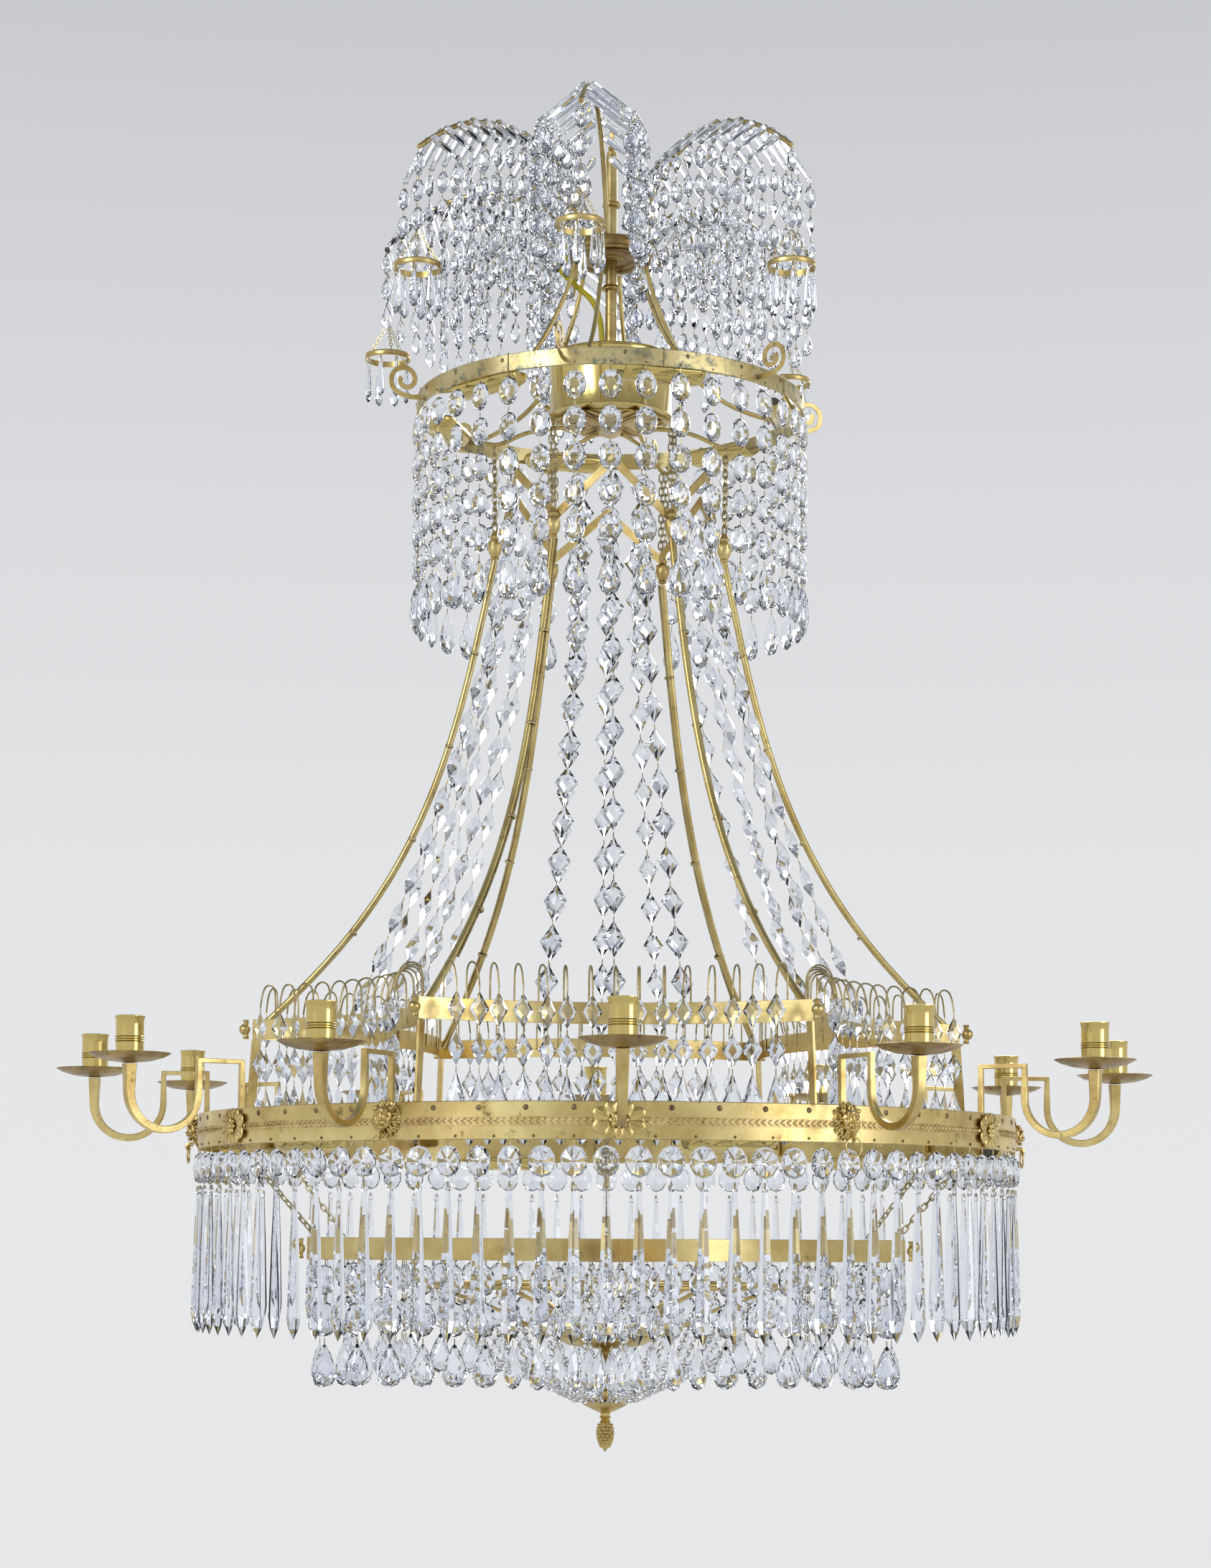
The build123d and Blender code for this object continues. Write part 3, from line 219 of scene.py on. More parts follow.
def out(compass, radius=0.0, level=0.0):
    """The place at a compass angle, radius and level, with +X outwards."""
    return turned("Z", compass - 90) @ moved(radius, 0, level)


def ring_of(count, radius=0.0, level=0.0, turn=0.0):
    return [out(turn + 360 * k / count, radius, level) for k in range(count)]


def compass_of(point):
    return math.degrees(math.atan2(point.x, -point.y))


def centre_of(node):
    """The middle of a CAD node's box, in mm."""
    low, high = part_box(node)
    return (low + high) / 2 * METRE


def along(run):
    """Turns -Z along a run."""
    return run.to_track_quat("-Z", "Y").to_matrix().to_4x4()


def framed(front, side, up):
    return Matrix((front, side, up)).transposed().to_4x4()


# ---- shapes of metal
def spun(profile, steps=24, closed=False, angle=360.0):
    """A turned shape: (radius, level) pairs spun about Z."""
    bm = bmesh.new()
    verts = [bm.verts.new((r, 0, z)) for r, z in profile]
    pairs = list(zip(verts, verts[1:])) + ([(verts[-1], verts[0])] if closed else [])
    for a, b in pairs:
        bm.edges.new((a, b))
    bmesh.ops.spin(bm, geom=bm.verts[:] + bm.edges[:], axis=(0, 0, 1), cent=(0, 0, 0),
                   angle=math.radians(angle), steps=steps, use_merge=angle == 360.0)
    bmesh.ops.remove_doubles(bm, verts=bm.verts[:], dist=1e-4)
    bmesh.ops.recalc_face_normals(bm, faces=bm.faces[:])
    return bm


def wire_profile(radius, wire, sides=8, level=0.0):
    """The section of a hoop that is bent from round wire."""
    steps = [2 * math.pi * k / sides for k in range(sides)]
    return [(radius + wire * math.cos(a), level + wire * math.sin(a)) for a in steps]


def band_profile(radius, wall, low, high, edge=0.6):
    """The section of a flat hoop on edge, its outer edges broken."""
    outer = [(radius - edge, low), (radius, low + edge), (radius, high - edge), (radius - edge, high)]
    return [(radius - wall, low)] + outer + [(radius - wall, high)]


def round_section(radius, sides):
    steps = [2 * math.pi * (k + 0.5) / sides for k in range(sides)]
    return [(radius * math.cos(a), radius * math.sin(a)) for a in steps]


def box_section(across, sideways, edge):
    """A bar's section with broken edges."""
    u, v, c = across / 2, sideways / 2, edge
    return [(u, v - c), (u - c, v), (c - u, v), (-u, v - c), (-u, c - v), (c - u, -v), (u - c, -v),
            (u, c - v)]


def drawn(points, section, smooth=True, cyclic=False, steps=4, sizes=None):
    """A bar or wire drawn along points, with a section of (across, sideways) pairs."""
    die = bpy.data.curves.new("die", "CURVE")
    die.dimensions = "2D"
    outline = die.splines.new("POLY")
    outline.points.add(len(section) - 1)
    for point, (u, v) in zip(outline.points, section):
        point.co = (u, v, 0, 1)
    outline.use_cyclic_u = True
    die_object = bpy.data.objects.new("die", die)
    path = bpy.data.curves.new("path", "CURVE")
    path.dimensions = "3D"
    path.twist_mode = "MINIMUM"
    path.bevel_mode = "OBJECT"
    path.bevel_object = die_object
    path.use_fill_caps = not cyclic
    path.resolution_u = steps
    line = path.splines.new("NURBS" if smooth else "POLY")
    line.points.add(len(points) - 1)
    for k, place in enumerate(points):
        line.points[k].co = (*place, 1)
        line.points[k].radius = sizes[k] if sizes else 1.0
    line.use_cyclic_u = cyclic
    if smooth:
        line.order_u = 4 if len(points) > 3 else 3
        line.use_endpoint_u = not cyclic
    path_object = bpy.data.objects.new("path", path)
    for made in (die_object, path_object):
        bpy.context.scene.collection.objects.link(made)
    bpy.context.view_layer.update()
    graph = bpy.context.evaluated_depsgraph_get()
    mesh = bpy.data.meshes.new_from_object(path_object.evaluated_get(graph))
    bm = bmesh.new()
    bm.from_mesh(mesh)
    for made, data in ((path_object, path), (die_object, die)):
        bpy.data.objects.remove(made)
        bpy.data.curves.remove(data)
    bpy.data.meshes.remove(mesh)
    bmesh.ops.remove_doubles(bm, verts=bm.verts[:], dist=1e-4)
    bmesh.ops.recalc_face_normals(bm, faces=bm.faces[:])
    return bm


def ball(size, u=12, v=8):
    """A ball stretched to half sizes along X, Y and Z."""
    bm = bmesh.new()
    bmesh.ops.create_uvsphere(bm, u_segments=u, v_segments=v, radius=1)
    bmesh.ops.scale(bm, vec=size, verts=bm.verts[:])
    return bm


def lump(size, place, tilt=0.0, u=12, v=8):
    """A ball with its place, tilted in the plane of what it sits on."""
    return ball(size, u, v), moved(*place) @ turned("X", tilt)


def laid(bm, *moves):
    for move in moves:
        bmesh.ops.transform(bm, matrix=move, verts=bm.verts[:])
    return bm


def joined(*parts):
    """Several shapes, each with an optional place, as one shape."""
    whole = bmesh.new()
    for part in parts:
        bm, place = part if isinstance(part, tuple) else (part, HERE[0])
        mesh = bpy.data.meshes.new("part")
        bm.to_mesh(mesh)
        mesh.transform(place)
        whole.from_mesh(mesh)
        bpy.data.meshes.remove(mesh)
    return whole


def hollow_band(corner_r, hollow, wall, low, high, turn):
    """A six-sided band on edge whose sides are hollow curves."""
    half, face, per_side = corner_r * 0.5, corner_r * math.cos(math.pi / 6), 18
    points = []
    for side in range(SIX):
        for share in (n / per_side for n in range(per_side)):
            x = face - 4 * hollow * share * (1 - share)
            points.append(turned("Z", 60 * side).to_3x3() @ Vector((x, half * (2 * share - 1), 0)))
    band = drawn(points, box_section(wall, high - low, 0.25), smooth=False, cyclic=True)
    return joined((band, turned("Z", turn - 90) @ moved(0, 0, (low + high) / 2)))


def screw(radius):
    """A small domed screw or nail head, its face on +X."""
    head = spun([(0, 1.1), (radius * 0.55, 1.0), (radius, 0.3), (radius, -0.6), (0, -0.6)], 10)
    return laid(head, turned("Y", 90))


def tie(width, height, thick):
    """A turn of thin wire round a band."""
    loop = [(thick, 0, height / 2), (thick, 0, -height / 2), (-width, 0, -height / 2),
            (-width, 0, height / 2)]
    return drawn(loop, round_section(0.45, 5), smooth=False, cyclic=True)


def link(w, s, h, wire, sides):
    """A chain link in the XZ plane: half its width, straight side and height, and its wire."""
    loop = [(w, 0, s), (w, 0, -s), (w / 2, 0, -h), (-w / 2, 0, -h), (-w, 0, -s), (-w, 0, s), (-w / 2, 0, h),
            (w / 2, 0, h)]
    return drawn(loop, round_section(wire, sides), smooth=False, cyclic=True)


# ---- shapes of glass
def cut_stone(outline, depth, table, star=None):
    """A cut drop: its girdle's outline in (sideways, level), stepped up to a table on both sides."""
    bm = bmesh.new()
    face = bm.faces.new([bm.verts.new((0, y, z)) for y, z in outline])
    middle = moved(0, 0, -(max(z for y, z in outline) + min(z for y, z in outline)) / 2)
    both = bmesh.ops.duplicate(bm, geom=[face])["geom"]
    back = [part for part in both if isinstance(part, bmesh.types.BMFace)][0]
    steps = ((star, 0.62), (table / star, 1.0)) if star else ((table, 1.0),)
    for flat, side in ((face, 1), (back, -1)):
        for share, height in steps:
            flat = bmesh.ops.extrude_discrete_faces(bm, faces=[flat])["faces"][0]
            for vert in flat.verts:
                vert.co.x = side * depth / 2 * height
            bmesh.ops.scale(bm, vec=(1, share, share), verts=flat.verts[:], space=middle)
    bmesh.ops.remove_doubles(bm, verts=bm.verts[:], dist=1e-3)
    bmesh.ops.recalc_face_normals(bm, faces=bm.faces[:])
    return bm


def ellipse(width, top, foot, count=12):
    half, middle = (top - foot) / 2, (top + foot) / 2
    steps = [2 * math.pi * k / count for k in range(count)]
    return [(width / 2 * math.sin(a), middle + half * math.cos(a)) for a in steps]


def lozenge(width, top, foot, depth, waist=0.5):
    level = top + (foot - top) * waist
    return cut_stone([(0, top), (width / 2, level), (0, foot), (-width / 2, level)], depth, 0.42)


def oval(width, top, foot, depth):
    return cut_stone(ellipse(width, top, foot), depth, 0.42, 0.78)


def pear(width, top, foot, depth):
    """A drop that is slim above and full below."""
    outline = []
    for a in (math.pi * k / 6 for k in range(12)):
        level = math.cos(a)
        full = math.sin(a) * (0.62 - 0.38 * level) * 1.25
        outline.append((width / 2 * full, (top + foot) / 2 + (top - foot) / 2 * level))
    return cut_stone(outline, depth, 0.4, 0.75)


def star_button(width, top, foot, depth):
    """A round button whose long facets all run up to the middle, like a star."""
    return cut_stone(ellipse(width, top, foot, 10), depth, 0.1, 0.86)


def spear(length, width, depth, swell=0.86, head=6.0):
    """A long six-sided drop with a pierced head, widest low down and cut to a point."""
    stations = [(0.3, -0.5), (0.42, -head), (0.3, -head - 2), (0.62, -length * 0.35)]
    stations += [(1.0, -length * swell), (0.72, -length * 0.93), (0.04, -length)]
    angles = [math.pi * k / 3 for k in range(6)]
    bm = bmesh.new()
    loops = []
    for share, z in stations:
        verts = [bm.verts.new((share * depth / 2 * math.cos(a), share * width / 2 * math.sin(a),
                               z)) for a in angles]
        loops.append([bm.edges.new((a, b)) for a, b in zip(verts, verts[1:] + verts[:1])])
    for upper, lower in zip(loops, loops[1:]):
        bmesh.ops.bridge_loops(bm, edges=upper + lower)
    bmesh.ops.holes_fill(bm, edges=bm.edges[:], sides=6)
    bmesh.ops.recalc_face_normals(bm, faces=bm.faces[:])
    return bm


def glass_club():
    """A moulded glass rod one unit long, thick and round at the spine, with a ball at its thin end."""
    profile = [(0, 0), (2.8, -0.012), (3.8, -0.05), (4.0, -0.13), (3.5, -0.35), (2.7, -0.7), (2.0, -0.9)]
    return spun(profile + [(3.0, -0.935), (3.0, -0.97), (0, -1.0)], 7)


def pin(length):
    """The small brass pin that joins two drops."""
    bm = bmesh.new()
    bmesh.ops.create_cone(bm, segments=4, radius1=0.55, radius2=0.55, depth=length, cap_ends=True)
    bmesh.ops.translate(bm, verts=bm.verts[:], vec=(0, 0, -length / 2 + 0.3))
    return bm


# ---- pieces
def repeated(shape, places):
    """One mesh with a copy of a shape at each place, in metres."""
    count, n = len(shape.vertices), len(places)
    co = np.zeros(count * 3, np.float32)
    shape.vertices.foreach_get("co", co)
    co = co.reshape(-1, 3)
    loops = np.zeros(len(shape.loops), np.int32)
    shape.loops.foreach_get("vertex_index", loops)
    totals = np.zeros(len(shape.polygons), np.int32)
    shape.polygons.foreach_get("loop_total", totals)
    moves = [np.array(place, np.float32) for place in places]
    starts = np.concatenate([[0], np.cumsum(np.tile(totals, n))[:-1]])
    mesh = bpy.data.meshes.new(shape.name)
    mesh.vertices.add(count * n)
    mesh.vertices.foreach_set("co",
                              np.concatenate([(co @ m[:3, :3].T + m[:3, 3]) * MM for m in moves]).ravel())
    mesh.loops.add(len(loops) * n)
    mesh.loops.foreach_set("vertex_index", np.concatenate([loops + count * k for k in range(n)]))
    mesh.polygons.add(len(totals) * n)
    mesh.polygons.foreach_set("loop_start", starts.astype(np.int32))
    mesh.update(calc_edges=True)
    return mesh


def piece(name, bm, places=HERE, material=GILT, body="frame", stands_for=(), smooth=None,
          wall=0.0):
    """Copies of one shape at several places, as one piece that rides on a body. Edges sharper than
    smooth degrees stay sharp."""
    shape = bpy.data.meshes.new(name)
    bm.to_mesh(shape)
    bm.free()
    mesh = repeated(shape, places)
    mesh.polygons.foreach_set("use_smooth", [bool(smooth)] * len(mesh.polygons))
    if smooth:
        mesh.set_sharp_from_angle(angle=math.radians(smooth))
    mesh.materials.append(material)
    made = bpy.data.objects.new(name, mesh)
    bpy.context.scene.collection.objects.link(made)
    if wall:
        shell = made.modifiers.new("wall", "SOLIDIFY")
        shell.thickness = wall * MM
        shell.offset = -1
    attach(made, body)
    if stands_for:
        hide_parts(*stands_for)


def solids(node):
    """Each separate solid of a CAD node, as its corner points in mm."""
    bm = bmesh.new()
    bm.from_mesh(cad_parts[node].data)
    bmesh.ops.remove_doubles(bm, verts=bm.verts[:], dist=1e-6)
    seen, groups = set(), []
    for first in bm.verts:
        if first in seen:
            continue
        seen.add(first)
        waiting, group = [first], []
        while waiting:
            vert = waiting.pop()
            group.append(vert.co * METRE)
            for other in (edge.other_vert(vert) for edge in vert.link_edges):
                if other not in seen:
                    seen.add(other)
                    waiting.append(other)
        groups.append(group)
    bm.free()
    return groups


def hung(solid):
    """Top point, length and turning of a hanging solid, its front on +X and its foot on -Z."""
    top = max(solid, key=lambda p: p.z)
    foot = min(solid, key=lambda p: p.z)
    sides = [p for p in solid if p is not top and p is not foot]
    up = top - foot
    length = up.length
    up.normalize()
    front = (sides[0] + sides[1]) / 2 - top
    front = (front - up * front.dot(up)).normalized()
    return top, length, framed(front, up.cross(front), up)


def strings(name, node, sequence, shapes, body="frame", pin_len=5.0):
    """Replaces a node of hanging strings by cut drops on brass pins. sequence lists (shape, length)
    from the top, or makes that list from a string's length."""
    places, pins = {}, []
    for solid in solids(node):
        top, length, turning = hung(solid)
        run = sequence(length) if callable(sequence) else sequence
        stretch = length / sum(step for key, step in run)
        fall = 0.0
        for key, step in run:
            at = moved(*top) @ turning @ moved(0, 0, -fall * stretch)
            wobble = turned("Z", draw.uniform(-14, 14))
            places.setdefault(key, []).append(at @ wobble @ Matrix.Diagonal((1, 1, stretch, 1)))
            pins.append(at)
            fall += step
    for k, (key, spots) in enumerate(places.items()):
        stands_for = (node,) if k == 0 else ()
        piece(f"{name}_{key}", shapes[key], spots, CRYSTAL, body, stands_for)
    piece(f"{name}_pins", pin(pin_len), pins, WIRE, body)


# ---- crown
# Hanging eye.
eye = spun(wire_profile(8.5, 2.4), 32, closed=True)
shank = spun([(0, -9), (3, -9), (3.6, -11.5), (2.4, -13), (4.6, -15), (4.9, -18.0), (0, -18.0)], 20)
piece("hanging_eye_turned", joined((eye, turned("Y", 90)), shank), stands_for=["hanging_eye"], smooth=35)

# Centre tube.
bore = 4.3
tube = spun([(bore, TUBE_LOW), (TUBE_R, TUBE_LOW), (TUBE_R, TUBE_TOP - 1), (5.2, TUBE_TOP),
             (bore, TUBE_TOP)], 24, closed=True)
collars = []
for top in (TUBE_TOP - 46.0, TUBE_TOP - 128.0):
    collars.append(spun([(5.8, top - 4), (8.4, top - 4), (9, top - 3.2), (9, top - 2.4), (7.6, top - 2),
                         (8.6, top - 1.2), (8.2, top), (5.8, top)], 24, closed=True))
piece("centre_tube_drawn", joined(tube, *collars), stands_for=["centre_tube"], smooth=35)

# A thick turned disc with two grooves underneath and a hollow round its edge.
low, top, hole = PLATE_LOW, PLATE_TOP, 6.1
profile = [(hole, low), (14, low), (15, low + 1.6), (20, low + 1.6), (21, low), (26, low), (27, low + 1.6),
           (32, low + 1.6), (33, low), (38, low), (40.5, low + 1.5), (41.6, low + 4), (40.2, low + 5.5),
           (40.2, top - 5.5), (41.8, top - 4), (41.4, top - 1.6), (39, top), (34, top), (33, top - 1.2),
           (hole, top - 1.2)]
piece("crown_plate_turned", spun(profile, 64, closed=True), material=PAN, stands_for=["crown_plate"],
      smooth=30)

# Rods that rise steeply from the plate, arch over a crest and fall a little to their tips.
crest_r, reach = 140, 108
rods = []
for compass, rise in zip(FRONDS, RISES):
    points = []
    for r in (32, 36, 50, 75, 105, 140, 172, 203, 228):
        if r < crest_r:
            climb = rise * (1 - ((crest_r - r) / reach) ** 2.6)
        else:
            climb = rise - 44 * ((r - crest_r) / 88) ** 2
        points.append((r, 0, PLATE_TOP + 2.05 + climb))
    rods.append((drawn(points, round_section(2.4, 10), steps=3), out(compass)))
piece("frond_rods", joined(*rods), stands_for=["frond_spines"], smooth=50)

# A glass club for every barb of the fronds.
places = []
for solid in solids("frond_barbs"):
    top, length, turning = hung(solid)
    places.append(moved(*top) @ turning @ Matrix.Diagonal((1, 1, length, 1)))
piece("frond_glass_rods", glass_club(), places, DRAWN, stands_for=["frond_barbs"], smooth=40)


def mixed_string(length):
    """Ovals with a lozenge here and there, and a pear at the foot, one every 26 mm."""
    kinds = [draw.choice(("oval", "oval", "oval", "lozenge")) for _ in range(max(1, round(length / 26)) - 1)]
    return [(kind, 26.0) for kind in kinds + ["pear"]]


# Strings of drops under the fronds.
shapes = {"oval": oval(14.5, -3.5, -24.5, 8), "lozenge": lozenge(13, -3, -25, 7.5),
          "pear": pear(15.5, -2.5, -25.8, 8.5)}
strings("frond_string", "frond_strings", mixed_string, shapes, pin_len=4.0)

# A moulded hoop on three fine chains at each frond's tip, with spears and buttons round it.
hoop_r, height, links = 21.2, 5.5, 8
for k, compass in enumerate(FRONDS):
    body = f"small_hoop_{k + 1}"
    node = f"crown_hoop_{k + 1}"
    low, high = levels(node)
    centre = centre_of(node)
    band = spun([(hoop_r, low), (22, low), (22.4, low + 0.9), (21.9, low + 1.6), (21.9, low + 4),
                 (22.4, low + 4.7), (22, low + height), (hoop_r, low + height)], 32, closed=True)
    start = Vector((0.8, 0, high - 0.4))
    run = Vector((20, 0, low + 6.0)) - start
    chain = []
    for way in (turned("Z", 120 * c) for c in range(3)):
        for n in range(links):
            spot = start + run * ((n + 0.5) / links)
            turn = along(run) @ turned("Z", 90 * (n % 2))
            chain.append((link(1.6, 1.2, 2.3, 0.35, 4), way @ moved(*spot) @ turn))
    at = moved(centre.x, centre.y) @ turned("Z", compass - 90)
    piece(f"small_hoop_band_{k + 1}", joined(band, *chain), [at], body=body, stands_for=[node], smooth=35)
    strings(f"small_hoop_drops_{k + 1}", f"hoop_drops_{k + 1}",
            lambda length: [("spear", 40.0)] if length > 30 else [("bead", 26.0)],
            {"spear": spear(40, 9.5, 6, 0.8, 3), "bead": oval(14.5, -3.5, -24.5, 8)}, body, pin_len=4.0)

# ---- drum, spider and upper ring
# A drum of spun sheet, open above.
low, top = DRUM_LOW, DRUM_TOP
walls = [(0, low), (55, low), (58.6, low + 0.8), (59.3, low + 2.5), (58.6, low + 4), (58.6, top - 3),
         (59.4, top - 1.6), (58.8, top), (57.6, top), (57.2, low + 1.5), (0, low + 1.5)]
piece("drum_spun", spun(walls, 72), HERE, POLISHED, stands_for=["drum"], smooth=40)

# Rosette plate.
low, top = levels("rosette_plate")
disc = spun([(0, low), (9, low), (11, low + 1.4), (24, low + 1.2), (30, low + 2.6), (46, low + 3),
             (46, top), (0, top)], 48)
petals = [(ball((17.5, 8.6, 1.9), 14, 8), place) for place in ring_of(12, 35, low + 2.0)]
piece("rosette_plate_chased", joined(disc, *petals), stands_for=["rosette_plate"], smooth=40)

# Spider arms.
low, top = levels("spider_arms")
z = top - 2.25
line = [(24, 0, z), (46, 0, z), (70, 0, z - 1.5), (90, 0, z - 9), (104, 0, z - 17), (112, 0, low + 2.2),
        (121, 0, low + 2.6), (126, 0, low + 7), (124, 0, low + 11), (120, 0, low + 9)]
piece("spider_arms_forged", drawn(line, round_section(2.15, 10), steps=3), ring_of(SIX, turn=CORNER),
      stands_for=["spider_arms"], smooth=50)

# The upper ring's band, with screws above, pins below and turns of thin wire.
band = spun(band_profile(UPPER_R, UPPER_WALL, RING_LOW, RING_TOP), 144, closed=True)
piece("upper_ring_band", band, HERE, BLOOM, stands_for=["upper_ring"], smooth=30)
piece("upper_ring_screws", screw(2.0), ring_of(20, UPPER_R - 0.3, RING_TOP - 5, 4), SCREW, smooth=40)
piece("upper_ring_pins", screw(0.9), ring_of(36, UPPER_R - 0.2, RING_LOW + 2.5), SCREW, smooth=40)
piece("upper_ring_ties", tie(3.0, RING_TOP - RING_LOW + 1.4, 0.4),
      ring_of(8, UPPER_R + 0.2, (RING_TOP + RING_LOW) / 2, 15), WIRE, smooth=50)

# Rods that leave the plate downwards and sweep out to the inside of the upper ring.
start, end = PLATE_R - 4.0 - 2.25, (UPPER_R - UPPER_WALL) * math.cos(math.pi / 36) - SEAT
foot, top = RING_TOP - 4.5, levels("stay_rods")[1] - 1.2
shares = ((0, 0), (0.03, 0.14), (0.08, 0.28), (0.22, 0.6), (0.42, 0.84), (0.68, 0.96), (1, 1))
line = [(start + a * (end - start), 0, top + b * (foot - top)) for a, b in shares]
piece("stay_rods_drawn", drawn(line, round_section(2.2, 10)), ring_of(SIX, turn=STAY_TURN), ROD,
      stands_for=["stay_rods"], smooth=50)

# Volute scrolls.
z = (RING_TOP + RING_LOW) / 2
begin = UPPER_R + SEAT + 0.8
line = [(begin - 0.2, 0, z - 2), (begin + 6.7, 0, z - 4)]
for n in range(26):
    a = math.radians(-60 + 18 * n)
    r = 15.2 * (1 - 0.029 * n)
    line.append((begin + 15 + r * math.cos(a), 0, z + 13.6 + r * math.sin(a)))
piece("volute_scrolls_bent", drawn(line, box_section(1.5, 4.6, 0.3), steps=2), ring_of(SIX, turn=STAY_TURN),
      stands_for=["volute_scrolls"], smooth=40)

# Ovals and pears under the upper ring.
strings("upper_oval", "upper_ovals", [("oval", 32.8)], {"oval": oval(21, -4, -31, 9)})
strings("upper_pear", "upper_pears", [("pear", 46.0)], {"pear": pear(23, -4, -45.5, 11)})

# Half-round troughs of sheet brass, each over a small lamp in a ribbed holder.
places = []
for solid in solids("lamp_shades"):
    centre = sum(solid, Vector()) / len(solid)
    places.append(out(compass_of(centre), centre.xy.length, max(p.z for p in solid)))
trough = spun([(0.01, -40), (8, -39), (13.5, -35), (15, -30), (15, 32), (14.2, 38), (13, 40)], 12,
              angle=180.0)
laid(trough, turned("X", 90), turned("Y", 180), Matrix.Diagonal((1, 1, 12.9 / 15, 1)))
piece("lamp_shades_pressed", trough, places, POLISHED, stands_for=["lamp_shades"],
      smooth=50, wall=1.0)
inside = [place @ moved(0, 0, -5.6) for place in places]
bulb = spun([(0, -30), (3.5, -29), (6.2, -25), (6.6, -10), (5.2, -4), (5.2, 8), (0, 8)], 14)
piece("lamp_bulbs_blown", laid(bulb, turned("X", 90)), inside, LAMP,
      stands_for=["lamp_bulbs"], smooth=50)
ribs = [(0, 8)]
for z in range(8, 29, 3):
    ribs += [(6.6, z), (6.6, z + 1.8), (5.8, z + 2.2), (5.8, z + 2.8)]
piece("lamp_holders", laid(spun(ribs + [(0, 30)], 14), turned("X", 90)), inside, HOLDER,
      smooth=40)

# ---- chains, sockets and stems
# A row of links on each chain's line, doubled on the short ones under the spider.
pitch = 6.6
places = []
for solid in solids("hanging_chains"):
    order = sorted(solid, key=lambda p: p.z)
    high = sum(order[-4:], Vector()) / 4
    run = sum(order[:4], Vector()) / 4 - high
    count = int(run.length / pitch)
    side = out(compass_of(high)).to_3x3() @ Vector((0, 1, 0))
    for offset in (-2.2, 2.2) if run.length < 100 else (0,):
        for n in range(count):
            spot = high + run * ((n + 0.5) / count) + side * offset
            places.append(moved(*spot) @ along(run) @ turned("Z", 90 * (n % 2) + 25))
piece("hanging_chain_links", link(2.2, 2.4, 4.3, 0.75, 5), places, WIRE, stands_for=["hanging_chains"],
      smooth=50)

# Stem sockets.
low, top = levels("stem_sockets")
bud = spun([(0, low), (3.3, low), (4.6, low + 1.5), (3.6, low + 3), (5.6, low + 6), (6.9, low + 11),
            (6.4, low + 16), (4, low + 20), (5.4, low + 22.5), (3.4, low + 25), (2.4, top), (0, top)], 20)
leaf = ball((1.5, 2.6, 6.5), 8, 6)
leaves = [(leaf, turned("Z", 72 * n) @ moved(5.4, 0, low + 12) @ turned("Y", 8)) for n in range(5)]
piece("stem_sockets_cast", joined(bud, *leaves), ring_of(SIX, 110, 0, CORNER), stands_for=["stem_sockets"],
      smooth=45)

# Curved rods that flare towards the tier ring, each with a wire laid along it and bound on.
top_r, drop_len, foot_r = 110, 448.0, TIER_R - 1.3 * 6.6
line = []
for share in (n / 10 for n in range(11)):
    flare = 0.42 * share + 0.58 * share**3.4
    line.append((top_r + (foot_r - top_r) * flare, 0, levels("stems")[1] - 0.6 - drop_len * share))
six = ring_of(SIX, turn=CORNER)
piece("stems_drawn", drawn(line, round_section(3.2, 12)), six, ROD, stands_for=["stems"],
      smooth=50)
beside = [(x - 0.6, 3.9, z) for x, y, z in line[:-1]]
piece("stem_side_wires", drawn(beside, round_section(1.0, 6)), six, WIRE, smooth=50)
binds = []
for n in (2, 4, 6, 8):
    (x0, _, z0), (x, _, z), (x1, _, z1) = line[n - 1 : n + 2]
    slope = Matrix.Rotation(math.atan2(x1 - x0, z1 - z0), 4, "Y")
    binds += [place @ moved(x, 1.6, z) @ slope for place in six]
coil = spun([(3.3, -1.6), (4.0, -1.4), (4.3, 0), (4.0, 1.4), (3.3, 1.6)], 12, closed=True)
laid(coil, Matrix.Diagonal((0.93, 1.25, 1, 1)))
piece("stem_wire_binds", coil, binds, WIRE, smooth=50)

# The zigzag crown keeps its CAD shape and only takes the gilt brass.
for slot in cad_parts["zigzag_crown"].material_slots:
    slot.material = GILT

# Long garlands of lozenges from the zigzag crown down to the tier ring.
strings("garland_lozenge", "garland_lozenges", [("lozenge", 38.0)], {"lozenge": lozenge(21, -3.5, -36.5, 9)})

# ---- fountain tier
# Tier ring.
piece("tier_ring_band", hollow_band(TIER_R, 55, 1.5, TIER_LOW, TIER_TOP, TURN), HERE, BAND,
      stands_for=["tier_ring"], smooth=30)

# An upright clip with a ball at each corner of the tier ring and of the lower ring.
half = 9.0
clip = spun([(0, -half), (2.6, -half), (3.2, 1 - half), (2.4, 2.2 - half), (2.4, half - 2.2),
             (3.2, half - 1), (2.6, half), (0, half)], 14)
whole = joined(clip, (ball((5.4, 5.4, 5.4), 20, 12), moved(1.2)))
places = ring_of(SIX, TIER_R + 7, (TIER_LOW + TIER_TOP) / 2, CORNER)
places += ring_of(SIX, LOWER_R + 7, (LOWER_LOW + LOWER_TOP) / 2)
piece("corner_balls_turned", whole, places, stands_for=["corner_balls"], smooth=45)

